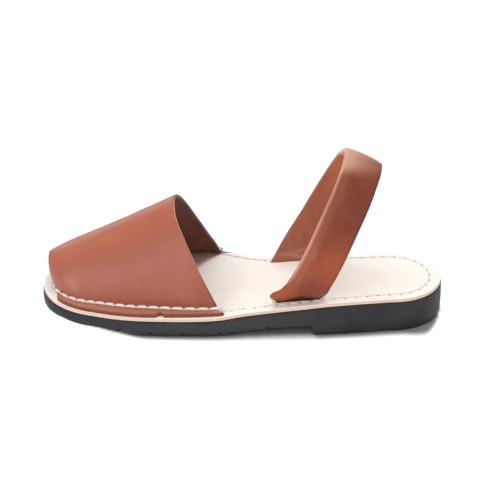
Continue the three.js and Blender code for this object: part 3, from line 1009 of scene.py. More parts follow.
@dataclass(frozen=True)
class StrapPath:
    """Where the folded heel strap runs."""

    # the arch's plane leans back from upright through one point, where its height is 0
    lean: float = np.radians(25.6)
    foot: Triple = (34.3, -6.5, 20.5)
    width: float = 25.2
    thickness: float = 3.8
    # the near foot's front edge flares forwards below one height, and is trimmed below another
    flare: float = 4.4
    flare_height: float = 13.0
    lip_height: float = 4.0
    lip_trim: float = 2.2
    # the far leg stands further back over one height, and its front edge turns outwards
    far_twist: float = 2.2
    twist_height: float = 36.0
    far_turn: float = 3.8
    far_turn_height: float = 80.0
    # the near leg bows forwards about one height
    bow: float = 1.2
    bow_height: float = 70.0
    bow_reach: float = 45.0
    # from one height on the crown is cambered: across, how far it stands up
    camber_from: float = 68.0
    camber: Rows = ((-12.6, 0), (-9, 0.7), (-5, 1.1), (0, 1.3), (7, 0.95), (12.6, 0))
    # the near foot is tucked inwards below one height, and both end over the outsole
    tuck: float = 7.8
    tuck_height: float = 11.5
    seat: float = 0.55
    # height in the leaning plane, reach to the near side and to the far side
    arch: Rows = (
        (-22, 29.6, 26.6), (-8, 30.6, 28.2), (4, 31.8, 28.9), (18, 34, 31), (32, 35.2, 31.8),
        (47, 34.1, 30.8), (62.5, 30.2, 28.2), (76, 24.4, 23.6), (88.2, 13.4, 14.6), (94.9, 0, 0),
    )

    def line(self, s: Array) -> Array:
        """The arch in its leaning plane: a centripetal curve through the table's rows.

        Each stretch is the cubic between two points whose slopes come from the
        square roots of the distances between four points in a row.

        Args:
            s: 0 at the near end to 1 at the far end.

        Returns:
            Distance out and height, on the last axis.
        """
        near = [(-row[1], row[0]) for row in self.arch]
        far = [(row[2], row[0]) for row in self.arch[-2::-1]]
        points = np.array(near + far, float)
        points = np.vstack([2 * points[0] - points[1], points, 2 * points[-1] - points[-2]])
        last = len(points) - 3
        p = np.clip(np.asarray(s, float), 0, 1) * last
        i = np.clip(np.floor(p).astype(int), 0, last - 1)
        t = (p - i)[..., None]
        a, b, c, d = (points[i + k] for k in range(4))
        ab = np.sqrt(np.linalg.norm(b - a, axis=-1))[..., None]
        bc = np.sqrt(np.linalg.norm(c - b, axis=-1))[..., None]
        cd = np.sqrt(np.linalg.norm(d - c, axis=-1))[..., None]
        m1 = ((b - a) / ab - (c - a) / (ab + bc) + (c - b) / bc) * bc
        m2 = ((c - b) / bc - (d - b) / (bc + cd) + (d - c) / cd) * bc
        return b + m1 * t + (3 * (c - b) - 2 * m1 - m2) * t**2 + (m1 + m2 - 2 * (c - b)) * t**3

    def middle(self, s: Array, w: Array) -> Array:
        """Points in the middle of the leather: s along the arch, w across it.

        Args:
            s: 0 at the near end of the arch to 1 at the far end.
            w: across it, less than 0 in front.

        Returns:
            Points, on a last axis of 3.
        """
        place = self.line(s)
        y, up = place[..., 0], place[..., 1]
        low = np.clip(1 - up / self.flare_height, 0, 1)
        front = np.clip(0.5 - w / self.width, 0, 1)
        x0, y0, z0 = self.foot
        sin, cos = np.sin(self.lean), np.cos(self.lean)
        over = z0 + cos * up - sin * w - LAST.footbed(x0 + sin * up + cos * w)
        roll = smooth(over / self.lip_height)
        lip = self.flare * low**2 * roll - self.lip_trim * (1 - roll)
        flare = np.where(s < 0.5, lip * front**2, 0)
        lift = smooth(up / self.twist_height)
        _, near_reach, far_reach = max(self.arch, key=lambda row: row[1])
        far = np.clip(y / far_reach, 0, 1)
        near = np.clip(-y / near_reach, 0, 1)
        bow = self.bow * bell(up - self.bow_height, self.bow_reach) * near
        crown = smooth((up - self.camber_from) / (self.arch[-1][0] - self.camber_from))
        camber = crown * through(self.camber, w)
        x = x0 + self.far_twist * lift * far - bow + sin * (up + camber) + cos * (w - flare)
        z = z0 + cos * (up + camber) - sin * (w - flare)
        turned = 1 - smooth(up / self.far_turn_height)
        y = y + np.where(s > 0.5, self.far_turn * front * turned, 0)
        over = z - LAST.footbed(x)
        tuck = np.where(s < 0.5, self.tuck * (1 - smooth((over + 1) / (self.tuck_height + 1))), 0)
        return np.stack([x, y0 + y + tuck, z], -1)

    def normal(self, s: Array, w: Array) -> Array:
        """The leather's outward normal, from small steps along and across.

        Args:
            s: places along the arch.
            w: places across it.

        Returns:
            Unit normals.
        """
        along = self.middle(np.minimum(s + 1e-3, 1), w) - self.middle(np.maximum(s - 1e-3, 0), w)
        across = self.middle(s, w + 0.1) - self.middle(s, w - 0.1)
        return unit(np.cross(across, along))

    def point(self, s: Array, w: Array, n: Array) -> Array:
        """Points moved n outwards from the middle of the leather."""
        s, w, n = np.broadcast_arrays(s, w, n)
        return self.middle(s, w) + n[..., None] * self.normal(s, w)

    def reach(self, w: Array, n: Array, over: float, from_far: bool) -> Array:
        """Where along the arch each line of the strap reaches a height over the bed.

        Args:
            w: where each line lies across the strap.
            n: how far out of its middle.
            over: the height over the bed.
            from_far: whether it is looked for from the far end.

        Returns:
            The share of the arch from that end, found by halving.
        """
        low, high = np.zeros_like(w), np.full_like(w, 0.4)
        for _ in range(36):
            half = (low + high) / 2
            p = self.point(1 - half if from_far else half, w, n)
            under = p[..., 2] < LAST.bed(p[..., 0]) + over
            low, high = np.where(under, half, low), np.where(under, high, half)
        return (low + high) / 2


STRAP = StrapPath()


@dataclass
class HeelStrap:
    """One leather folded double, with its fold in front and both cut edges behind."""

    grain: GrainLeather
    edge: CutEdge
    steps: int = 300
    # radius of the cut edges' corners; half breadth and depth of the slit between them
    corner: float = 0.45
    slit: Pair = (0.22, 2.2)
    # creases, as rows of marks
    near_creases: Rows = ((0.55, -6.5, 0.32, 4.2, 2, 22), (-0.5, -0.5, 0.36, 5, 1, 17))
    crown_creases: Rows = ((-0.35, -12, -0.35, 2.6), (-0.25, -5.5, 0.25, 2.2), (0.3, -8.8, 0, 3))
    far_creases: Rows = ((-0.35, 5.5, 0.15, 1.6), (0.35, 8.2, -0.1, 1.8), (-0.3, 11.5, 0.2, 1.8))

    def section(self) -> tuple[Array, Array, Array]:
        """The strap's section: a round fold, two faces, and two cut edges with a slit.

        Returns:
            Across, out and material slot of each line.
        """
        half, thick, soft = STRAP.width / 2, STRAP.thickness / 2, self.corner
        angle = np.linspace(np.pi / 2, 3 * np.pi / 2, 15)
        fold = np.stack([-half + thick + thick * np.cos(angle), thick * np.sin(angle)], 1)
        across = np.linspace(-half + thick, half - soft, 18)[1:]
        inner = np.stack([across, np.full_like(across, -thick)], 1)
        gap, depth = self.slit
        turn = np.linspace(0, np.pi / 2, 4)[1:]
        corner = np.stack([half - soft + soft * np.sin(turn), -thick + soft - soft * np.cos(turn)], 1)
        mouth = np.array([[half, -thick * 0.45], [half, -gap - 0.25], [half - 0.15, -gap / 2 - 0.08]])
        floor = np.array([[half - 0.6, -gap / 2], [half - depth, -gap / 2]])
        lower = np.concatenate([inner, corner, mouth, floor])
        upper = lower[::-1] * (1, -1)
        path = np.concatenate([fold, lower, upper[:-1]])
        slot = np.zeros(len(path), int)
        start = len(fold) + len(inner)
        length = 2 * (len(corner) + len(mouth) + len(floor)) - 1
        slot[start : start + length] = CUT_SLOT
        return path[:, 0], path[:, 1], slot

    def creases(self, s: Array, w: Array) -> Array:
        """Soft troughs and ridges on the faces: how far the leather moves outwards.

        Ridges run up from the near foot's front corner, troughs lie across the crown
        and the far foot, and the whole is gently uneven.

        Args:
            s: places along the arch.
            w: places across it.

        Returns:
            How far each point moves.
        """
        place = STRAP.line(s)
        y, up = place[..., 0], place[..., 1]
        near = (s < 0.42) * marks(self.near_creases, w, up)
        crown = (up > 70) * marks(self.crown_creases, y, w)
        far = (s > 0.58) * marks(self.far_creases, up, w)
        wave = 0.12 * np.sin(up / 9 + w / 7) + 0.08 * np.sin(up / 4.7 - w / 5 + 1)
        return near + crown + far + wave * smooth(up / 10)

    def light_shade_and_tone(self, s: Array, w: Array, n: Array, over: Array) -> dict[str, Array]:
        """How much painted light, darkening and warm tone the leather takes at each point, each from 0 to
        1.

        Painted highlights lie along the fold's rim and on the crown, and the far leg's inner face
        takes painted light with painted highlights on its wrinkles. The near leg is warm in the
        middle and darker about its upper middle, with painted shade low behind its foot and where
        it meets the insole; the cut edges are darker.

        Args:
            s: places along the arch.
            w: places across it.
            n: how far out of the leather's middle.
            over: heights over the insole.

        Returns:
            The three values by name.
        """
        up = STRAP.line(s)[..., 1]
        near = (s < 0.5) * (n > 0)
        inside = smooth(0.5 - n / 2) * (s > 0.5)
        # painted highlight along the fold's rim
        fold = smooth((n + 1.6) / 1.6) * smooth((up - 8) / 16)
        rim = 0.75 * bell(w + 12.4, 1.7) + 0.16 * bell(w + 10, 6)
        worn = fold * rim * np.where(s < 0.5, 1, 0.3)
        # painted highlight on the crown
        worn = worn + (0.52 - 0.04 * w) * smooth((up - 86.5 - 0.15 * w) / 6)
        # painted light on the far leg's inner face, with painted highlights on its wrinkles
        wave = 0.7 * np.sin(w / 3.5) + 0.08 * w
        ripple = bell(over - 3.2 + wave, 1.3) + 0.8 * bell(over - 6.4 - wave, 1.5)
        worn = worn + inside * (0.17 + 0.1 * bell(over - 3, 8) + 0.24 * ripple * smooth(0.9 + w / 20))
        # darker along the cut edges, and painted shade where the near foot meets the insole
        dark = 0.4 * bell(w - STRAP.width / 2, 2.4) + 0.6 * (1 - smooth(over / 1.6)) * (s < 0.5)
        # darker about the near leg's upper middle
        dark = dark + 0.55 * bell(up - 70, 34) * near * (0.5 + 0.5 * smooth((w + 6) / 12))
        # painted shade low on the near leg, behind its foot
        dark = dark + 0.65 * bell(up - 2, 28) * near * smooth((w + 8) / 8)
        warm = 0.42 * bell(up - 42, 30) * near + inside * (0.45 + 0.5 * bell(up - 84, 44))
        warm = warm + 0.8 * bell(w + 11, 8) * bell(up + 2, 22) * near
        return held(worn=worn, dark=dark, warm=warm)

    def build(self) -> Object:
        """Makes the strap in place of its node, swept from its near to its far foot.

        Returns:
            The strap.
        """
        w, n, slot = self.section()
        start = STRAP.reach(w, n, STRAP.seat, False)
        end = 1 - STRAP.reach(w, n, STRAP.seat, True)
        f = np.linspace(0, 1, self.steps)
        f = f - 0.045 * np.sin(2 * np.pi * f) - 0.028 * np.sin(4 * np.pi * f)
        s = start + (end - start) * f[:, None]
        w, n = np.broadcast_to(w, s.shape), np.broadcast_to(n, s.shape)
        points = STRAP.point(s, w, n + self.creases(s, w))
        over = points[..., 2] - LAST.footbed(points[..., 0])
        skin = Skin()
        skin.add(points, slot, loop=True, **self.light_shade_and_tone(s, w, n, over))
        for row in (0, -1):
            ring = points[row]
            centre = np.broadcast_to(ring.mean(0), ring.shape)
            ends = np.stack([ring, centre] if row else [centre, ring])
            # painted shade on the end caps, down in the insole's slots
            skin.add(ends, loop=True, dark=np.ones(ends.shape[:2]))
        piece = skin.build("heel_strap_leather", [self.grain.material(), self.edge.material()])
        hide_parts("heel_strap")
        return piece

    def footprint(self, from_far: bool) -> Array:
        """Where the strap's middle crosses the insole's face: a line of points.

        Args:
            from_far: whether it is the far foot's.

        Returns:
            Points x 2.
        """
        w = np.linspace(-STRAP.width / 2 + 1.2, STRAP.width / 2, 60)
        n = np.zeros_like(w)
        s = STRAP.reach(w, n, LAST.gap + LAST.insole, from_far)
        return STRAP.point(1 - s if from_far else s, w, n)[:, :2]


@dataclass
class Seams:
    """Thick white stitches: over the vamp's turned-out edge and on round the insole."""

    finish: WaxedThread
    pitch: float = 7.1
    # rise of the thread's middle, its radius, and the share of it left at the ends
    thick: Triple = (0.3, 0.95, 0.5)
    fine: Triple = (-0.1, 0.62, 0.4)
    # room that the strap's feet take, sideways bow of a stitch, and its overlap into its hole
    foot_room: float = 3.6
    bow: float = 0.6
    overlap: float = 0.4
    # X where the insole's front row of holes ends on either side
    toe_end: float = -118.7
    # number of a hole in the vamp's flange, its X
    holes: Rows = (
        (-2, -123.0), (-1, -118.4), (0, -114.8), (4, -93), (8, -66.8), (11, -44.6), (14, -20.4),
        (15, -12.9),
    )

    def evenly(self, first: float, last: float, steps: int) -> Array:
        """Turns of evenly spaced holes between two turns, about a pitch apart.

        The seam's length is summed up along small steps, and the holes are set at
        equal shares of it.

        Args:
            first: the first turn.
            last: the last turn.
            steps: points that the length is read at.

        Returns:
            The holes' turns.
        """
        turns = np.linspace(first, last, steps)
        line = LAST.seam(turns)
        length = np.concatenate([[0], np.cumsum(np.linalg.norm(np.diff(line, axis=0), axis=1))])
        count = int(round(length[-1] / self.pitch))
        return np.interp(np.linspace(0, length[-1], count + 1), length, turns)

    def insole_holes(self) -> list[Array]:
        """Turns of the insole's two rows of holes: round the heel and round the toe.

        Returns:
            The turns of each row.
        """
        throat = LAST.turn_at(self.holes[-1][1])
        toe = LAST.turn_at(self.toe_end)
        return [self.evenly(throat, 2 - throat, 4001), self.evenly(-toe, toe, 1001)]

    def stitches(
        self, starts: Array, ends: Array, normals: Array, height: float, radius: float, thin: float
    ) -> tuple[Array, Array]:
        """Plump stitches between pairs of holes.

        Each runs straight from hole to hole, lifted along the normal by the height
        times a low power of a sine, and is thickest in its middle. Two plies
        twist round it as a small wave of its radius.

        Args:
            starts: first holes, on the surface.
            ends: second holes.
            normals: the surface's normal at each stitch.
            height: how far the middle of the thread rises.
            radius: the thread's radius in the middle.
            thin: the share of it that is left at the ends.

        Returns:
            Points, stitches x rings x sides x 3, and how much painted shade each ring takes.
        """
        t = np.linspace(0, 1, 13)[None, :, None]
        arc = np.sin(np.pi * t) ** 0.25
        along = ends - starts
        side = unit(np.cross(normals, along))
        line = starts[:, None] + along[:, None] * t
        line = line + normals[:, None] * (height * arc - 0.7 * (1 - arc))
        line = line + side[:, None] * self.bow * (np.sin(np.pi * t) - 0.5)
        side = side[:, None, None]
        up = np.broadcast_to(normals[:, None, None], (len(starts), 1, 1, 3))
        angle = np.linspace(0, 2 * np.pi, 11)[:-1][None, None, :, None]
        ply = 1 + 0.1 * np.cos(2 * (angle - 5.0 * t[..., None]))
        thick = radius * (thin + (1 - thin) * np.sin(np.pi * t[..., None])) * ply
        ring = line[:, :, None] + thick * (np.cos(angle) * side * 1.12 + np.sin(angle) * up)
        # painted shade towards the stitch's ends, where it goes into its holes
        dark = np.broadcast_to((1 - np.sin(np.pi * t) ** 0.35)[..., None], ring.shape[:3] + (1,))
        return ring, dark[..., 0]

    def add_stitches(self, skin: Skin, rings: Array, dark: Array) -> None:
        """Adds each stitch's tube and its closed ends to a skin.

        Args:
            skin: the skin.
            rings: the stitches' points.
            dark: how much painted shade each ring takes.
        """
        for tube, shade in zip(rings, dark):
            first = np.broadcast_to(tube[0].mean(0), tube[0].shape)
            last = np.broadcast_to(tube[-1].mean(0), tube[-1].shape)
            whole = np.concatenate([first[None], tube, last[None]])
            shades = np.concatenate([shade[:1], shade, shade[-1:]])
            skin.add(whole, loop=True, dark=shades)

    def build(self, vamp: "Vamp", strap: HeelStrap) -> list[Object]:
        """Makes the vamp's stitches and the insole's, as two pieces.

        The insole's seam is hidden where the strap's feet stand on it.

        Args:
            vamp: the vamp that is sewn.
            strap: the strap whose feet hide some stitches.

        Returns:
            The vamp's stitches and the insole's.
        """
        feet = np.concatenate([strap.footprint(False), strap.footprint(True)])
        material = self.finish.material()
        on_vamp = Skin()
        for side in Side:
            x = through(self.holes, np.arange(-1, self.holes[-1][0] + 1))
            u = (x - vamp.base[0]) / (vamp.base[1] - vamp.base[0])
            points, normals = vamp.seam_points(u, side)
            over = self.overlap * unit(points[1:] - points[:-1])
            starts, ends = points[:-1] - over, points[1:] + over
            lean = unit(normals[:-1] + normals[1:])
            rings, dark = self.stitches(starts, ends, lean, *self.thick)
            self.add_stitches(on_vamp, rings, dark)
        first = on_vamp.build("vamp_stitches", [material], crease=80, weld=0.001)
        on_insole = Skin()
        for turns in self.insole_holes():
            plan = LAST.seam(turns)
            holes = np.column_stack([plan, LAST.footbed(plan[:, 0])])
            along = holes[1:] - holes[:-1]
            flat = unit(np.cross(along, np.cross((0, 0, 1), along)))
            rings, dark = self.stitches(holes[:-1], holes[1:], flat, *self.fine)
            away = [np.hypot(*(feet - spot).T).min() for spot in (plan[1:] + plan[:-1]) / 2]
            clear = np.array(away) > self.foot_room
            self.add_stitches(on_insole, rings[clear], dark[clear])
        second = on_insole.build("insole_stitches", [material], crease=80, weld=0.001)
        return [first, second]


@dataclass
class Insole:
    """The pale leather board, with its seam, holes and the strap's two slots."""

    finish: PaleInsole
    edge: CutEdge
    stations: int = 640
    across: int = 40
    # how deep the face sinks at the seam, its holes and the slots, and the slots' raised lip
    seam_dip: float = 0.16
    hole_dip: float = 0.35
    slot_dip: float = 1.1
    slot_lip: float = 0.22
    # inset and height of the cut edge, from the underside up
    rim: Rows = (
        (0.9, 0), (0.55, 0.12), (0.4, 0.4), (0.4, 1), (0.4, 1.6), (0.46, 2), (0.6, 2.25), (0.85, 2.42),
        (1.2, 2.5),
    )

    def build(self, seams: Seams, strap: HeelStrap) -> Object:
        """Makes the insole in place of its node.

        Its face sinks along the seam, at each hole and round the strap's feet.

        Args:
            seams: the seams, for their holes.
            strap: the strap, for its feet.

        Returns:
            The insole.
        """
        turns = np.linspace(0, 1, self.stations)
        inset, rise = np.array(self.rim).T
        near_seam = np.arange(1.8, 13.1, 0.62)
        plan, _ = sole_columns(turns, np.append(inset, near_seam), self.across)
        flat = np.full(len(near_seam), LAST.insole)
        rise = mirrored(np.append(rise, flat), LAST.insole, self.across)
        x, y = plan[..., 0], plan[..., 1]
        z = LAST.bed(x) + LAST.gap + rise
        off, count = self.from_seam(x, y, seams)
        top = rise > 2.4
        from_hole = np.hypot(off, seams.pitch * (count - np.round(count)))
        z = z - top * (self.seam_dip * bell(off, 1.8) + self.hole_dip * bell(from_hole, 1.3))
        for from_far in (False, True):
            foot = strap.footprint(from_far)
            away = np.hypot(x[..., None] - foot[:, 0], y[..., None] - foot[:, 1]).min(-1)
            past = away - STRAP.thickness / 2
            sunk = self.slot_dip * bell(np.maximum(past, 0), 1.5)
            z = z - top * (sunk - self.slot_lip * bell(past - 2.2, 1.8))
        cut = np.zeros(plan.shape[1] - 1, int)
        bare = len(self.rim) - 3
        cut[:bare] = CUT_SLOT
        cut[-bare:] = CUT_SLOT
        skin = Skin()
        # the point value shade carries the painted shadow under the vamp
        skin.add(np.dstack([plan, z]), cut, off=off, count=count, shade=self.painted_vamp_shadow(x, y) * top)
        under, _ = sole_columns(turns, inset[:1], 6)
        base = LAST.bed(under[..., 0]) + LAST.gap
        far = np.full_like(base, 9.0)
        skin.add(np.dstack([under, base])[:, ::-1], CUT_SLOT, off=far, count=far)
        piece = skin.build("insole_board", [self.finish.material(), self.edge.material()])
        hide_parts("insole")
        return piece

    def painted_vamp_shadow(self, x: Array, y: Array) -> Array:
        """How deep the painted shadow under the vamp lies on the board.

        It is deepest along the inner wall and ends short of the throat.

        Args:
            x: places along the sole.
            y: places across it.

        Returns:
            How deep the painted shadow is at each place, from 0 to 1.
        """
        wall = LAST.seam_y(np.clip(x, -118, -15), Side.INNER)
        reach = 1.5 * np.clip(-13.5 - x, 0.5, 24)
        from_toe = smooth((x + 100) / 25)
        return 0.9 * from_toe * (1 - smooth(((wall - y) / reach - 0.6) / 0.6))

    def from_seam(self, x: Array, y: Array, seams: Seams) -> tuple[Array, Array]:
        """Distance from the seam, and the number of holes passed along it.

        Both are read from the nearest of many points along the seam.

        Args:
            x: places along the sole.
            y: places across it.
            seams: the seams.

        Returns:
            The distance, and the number with its fraction, at each place.
        """
        parts = []
        for turns in seams.insole_holes():
            fine = np.linspace(turns[0], turns[-1], 1600)
            numbers = np.interp(fine, turns, np.arange(len(turns)))
            parts.append(np.column_stack([LAST.seam(fine), numbers]))
        line = np.concatenate(parts)
        off = np.empty(x.size)
        count = np.empty(x.size)
        flat_x, flat_y = x.ravel(), y.ravel()
        for start in range(0, x.size, 4000):
            part = slice(start, start + 4000)
            away = np.hypot(flat_x[part, None] - line[:, 0], flat_y[part, None] - line[:, 1])
            nearest = np.argmin(away, 1)
            off[part] = away[np.arange(len(nearest)), nearest]
            count[part] = line[nearest, 2]
        return off.reshape(x.shape), count.reshape(x.shape)


@dataclass
class Vamp:
    """The one-piece front: an arched leather turned out over the insole."""

    grain: GrainLeather
    flesh: FleshLeather
    raw: CutEdge
    waxed: CutEdge
    # X of the toe opening and of the throat, at the base and at the crest
    base: Pair = (-118.5, -15.2)
    crest: Pair = (-124.0, -42.8)
    bulge: float = 0.6
    # the bend from the flange into the arch, and how far it lies inside the seam
    bend_radius: float = 3.0
    bend_inset: float = 1.0
    # how far the flange runs on backwards at the throat (outer, inner) and is cut at the toe
    throat_flare: Pair = (3.4, 1.6)
    front_trim: float = 1.2
    # how far the crest lies to the inner side, and how full each side is below it
    crest_offset: float = 1.0
    fullness: Pair = (2.15, 1.92)
    thickness: float = 2.0
    # X, width and depth of the notch in the outer flange
    notch: Triple = (-53.0, 5.4, 2.6)
    rows: int = 250
    # steps of the cut edge: how far out, share of the thickness
    rounding: Rows = ((0, 0.97), (0.22, 0.86), (0.36, 0.62), (0.42, 0.3), (0.42, 0))
    # where the bend and the arch begin, on the way from the edge (0) to the crest (1)
    bend_from: float = 0.1
    arch_from: float = 0.2
    # on the outer side, as rows of marks: a patch of painted light, painted shade by the throat, the
    # creases
    painted_light_patch: Rows = ((0.35, -111, 0.3, 11, 14, 11),)
    throat_shade: Rows = ((0.3, -21, -0.42, 8, 9, 15),)
    outer_creases: Rows = (
        (-0.5, -98, 0.1, 20, 17, 16), (0.4, -52, -0.9, 16, 22, 24), (-0.22, -57, -0.25, 2.6, 17, 5),
        (-0.16, -51.3, -0.3, 2.2, 15.5, 4),
    )
    # X, height of the crest
    crest_rows: Rows = (
        (-124, 37), (-118.5, 38.8), (-103.7, 44.4), (-87, 51.6), (-68.4, 59.8), (-56, 65.5),
        (-46.6, 70.3), (-42.8, 72.6),
    )
    # X, how far the flange's edge lies inside the outline, outer side and inner side
    margins: Rows = ((-120, 1.5, 1.5), (-90, 1.1, 1.1), (-58, 1.3, 1.2), (-45, 2, 1.2), (-10, 2.4, 1.3))
    # share of the height, how far the throat's rim is shifted on either side
    throat_trim: Rows = (
        (0, 0, 0.9), (0.12, 0, 0.6), (0.28, -0.1, -0.7), (0.5, -0.3, -1.3), (0.75, -0.8, -1),
        (0.93, -1.4, -0.4), (1, -0.7, -0.7),
    )

    def base_z(self, x: Array) -> Array:
        """Height of the middle of the leather where it lies on the insole."""
        return LAST.footbed(x) + LAST.gap + self.thickness / 2

    def rails(self, u: Array) -> Rails:
        """Sizes of each section: its base, crest, feet and rise.

        Args:
            u: 0 at the toe opening to 1 at the throat.

        Returns:
            The sizes by name, and the feet by side.
        """
        x = self.base[0] + (self.base[1] - self.base[0]) * u
        top = self.crest[0] + (self.crest[1] - self.crest[0]) * u
        outer = LAST.seam_y(x, Side.OUTER, self.bend_inset)
        inner = LAST.seam_y(x, Side.INNER, self.bend_inset)
        rise = through(self.crest_rows, top) - self.base_z(x)
        middle = (outer + inner) / 2 + self.crest_offset
        return {"x": x, "top": top, Side.OUTER: outer, Side.INNER: inner, "rise": rise, "middle": middle}

    def arch(self, u: Array, angle: Array, side: Side, rails: Rails) -> Array:
        """The arched part: height is a sine, breadth a power of the cosine.

        Args:
            u: places from toe to throat.
            angle: 0 at the foot to a quarter turn at the crest.
            side: the side.
            rails: the sections' sizes.

        Returns:
            Points, on a last axis of 3.
        """
        height = np.sin(angle)
        power = 2 / self.fullness[side.column - 1]
        out = np.maximum(np.cos(angle), 0) ** power
        bulge = self.bulge * (1 - u) ** 4
        x = rails["x"] + (rails["top"] - rails["x"]) * height - bulge * 4 * height * (1 - height)
        x = x + through(self.throat_trim, height, side.column) * u**4
        y = rails["middle"] + (rails[side] - rails["middle"]) * out
        z = self.base_z(rails["x"]) + rails["rise"] * height
        return np.stack([x, y, z], -1)

    def half(self, u: Array, side: Side, flange: Array, bend: Array, arch: Array) -> Array:
        """One half of the sections, from the flange's edge to the crest.

        The flange is straight from its edge to the bend, the bend is a quadratic
        curve about its corner, and the arch follows.

        Args:
            u: places from toe to throat.
            side: the side.
            flange: shares of the flange, 1 at its edge to 0 at the bend.
            bend: shares of the bend, from the flange on.
            arch: shares of the arch up to the crest.

        Returns:
            Points, sections x places x 3.
        """
        u = u[:, None]
        rails = self.rails(u)
        margin = through(self.margins, rails["x"], side.column)
        edge = LAST.outline_y(rails["x"], side) - side * margin
        if side < 0:
            place, width, depth = self.notch
            edge = edge + depth * smooth(1.5 - 1.5 * np.abs(rails["x"] - place) / (width / 2))
        start_y = rails[side] + side * self.bend_radius
        f = flange[None, :]
        shift = self.throat_flare[side.column - 1] * u**2 + self.front_trim * (1 - u) ** 12
        x = rails["x"] + shift * f
        flat = np.stack([x, start_y + (edge - start_y) * f, self.base_z(x)], -1)
        start = np.arcsin(self.bend_radius / rails["rise"])
        first = np.stack([rails["x"], start_y, self.base_z(rails["x"])], -1)
        corner = np.stack([rails["x"], rails[side], self.base_z(rails["x"])], -1)
        last = self.arch(u, start, side, rails)
        t = bend[None, :, None]
        curve = first * (1 - t) ** 2 + 2 * corner * t * (1 - t) + last * t * t
        angle = start + (np.pi / 2 - start) * arch[None, :]
        return np.concatenate([flat, curve, self.arch(u, angle, side, rails)], 1)

    def grid(self, u: Array) -> tuple[Array, Array]:
        """The whole middle surface, and a value that runs 0 to 1 from edge to crest.

        Args:
            u: places from toe to throat.

        Returns:
            Points, sections x places x 3, and the value, less than 0 on the inner side.
        """
        flange = np.linspace(1, 0, 10)[:-1]
        bend = np.linspace(0, 1, 12)[:-1]
        arch = np.linspace(0, 1, 70)
        outer = self.half(u, Side.OUTER, flange, bend, arch)
        inner = self.half(u, Side.INNER, flange, bend, arch)
        low, high = self.bend_from, self.arch_from
        parts = [np.linspace(0, low, 9), np.linspace(low, high, 11), np.linspace(high, 1, 70)]
        share = np.concatenate(parts)
        shares = np.concatenate([share, -share[-2::-1]])
        grid = np.concatenate([outer, inner[:, -2::-1]], 1)
        return grid, np.broadcast_to(shares, grid.shape[:2])

    def seam_points(self, u: Array, side: Side) -> tuple[Array, Array]:
        """Points and normals on the grain face where the stitches go in.

        Args:
            u: places from toe to throat.
            side: the side.

        Returns:
            The points and the unit normals.
        """
        bend = np.array([0.2, 0.3, 0.4])
        none = np.array([])
        top = np.array([1.0])
        near = [self.half(u + step, side, none, bend, top)[:, :3] for step in (-0.004, 0, 0.004)]
        along = near[2][:, 1] - near[0][:, 1]
        across = near[1][:, 2] - near[1][:, 0]
        normal = unit(np.cross(along, across))
        normal = normal * np.sign(normal[:, 2:])
        return near[1][:, 1] + normal * self.thickness / 2, normal

    def height(self, shares: Array) -> Array:
        """How far up its arch each point lies, 0 at the bend to 1 at the crest."""
        return np.clip((np.abs(shares) - self.arch_from) / (1 - self.arch_from), 0, 1)

    def creases(self, grid: Array, shares: Array) -> Array:
        """Soft troughs and ridges of the worn leather: how far it moves outwards.

        Args:
            grid: points in the middle of the leather.
            shares: how far from edge to crest each lies.

        Returns:
            How far each point moves.
        """
        x = grid[..., 0]
        up = grid[..., 2] - LAST.footbed(x)
        pull = 0.16 * np.cos(2 * np.pi * self.count(x)) * bell(up - 3.5, 4.5)
        pull = pull * (np.abs(shares) > self.bend_from)
        outer = (shares > 0) * marks(self.outer_creases, x, up)
        wave = 0.14 * np.sin(x / 13 + up / 11) + 0.1 * np.sin(x / 7.1 - up / 8.3 + 1.3)
        return pull + outer + wave * smooth(self.height(shares) * 4)

    def light_shade_and_tone(self, grid: Array, shares: Array, u: Array) -> dict[str, Array]:
        """How much painted light, painted shade and warm tone the leather takes at each point, each from
        0 to 1.

        Painted sheen lies along the crest, a painted highlight on the flange, and a patch of painted
        light beside the toe. Painted shade lies at the foot of the arch, low towards the throat and
        along the throat's rim.

        Args:
            grid: points in the middle of the leather.
            shares: how far from edge to crest each lies.
            u: places from toe to throat.

        Returns:
            The three values by name.
        """
        x = grid[..., 0]
        up = grid[..., 2] - LAST.footbed(x)
        share, height = np.abs(shares), self.height(shares)
        outer = shares > 0
        # painted sheen along the crest, and a painted highlight on the flange
        worn = 0.55 * smooth((height - 0.9) / 0.1) + bell(share - 0.05, 0.08)
        # a patch of painted light beside the toe
        worn = worn + marks(self.painted_light_patch, x, up) * outer
        # painted shade at the foot of the arch, just above the bend
        dark = 0.4 * bell(up - 1.6, 1.2) * (share > 0.11)
        # painted shade low on the arch towards the throat, and by the throat
        rear = 0.22 * bell(up - 5, 4.5) * smooth((x + 95) / 45)
        rear = rear + marks(self.throat_shade, x, up) * outer
        # painted shade along the throat's rim: all of the inner side, the lower part of the outer side
        turn = 0.5 * smooth((share - 0.84) / 0.16)
        inner = np.where(outer, turn, 1 - turn)
        rim = 0.85 * inner + 0.75 * (1 - inner) * smooth((30 - up) / 18)
        dark = dark + rear * (share > 0.13) + rim * bell(u[:, None] - 1, 0.012)
        warm = bell(height - 0.8, 0.26) + 0.5 * bell(x + 120, 9) * bell(up - 24, 10)
        return held(worn=worn, dark=dark, warm=warm)

    def count(self, x: Array) -> Array:
        """Number of stitch holes passed at one X, along the vamp's seam."""
        numbers = np.linspace(-2, 15, 400)
        return np.interp(x, through(Seams.holes, numbers), numbers)

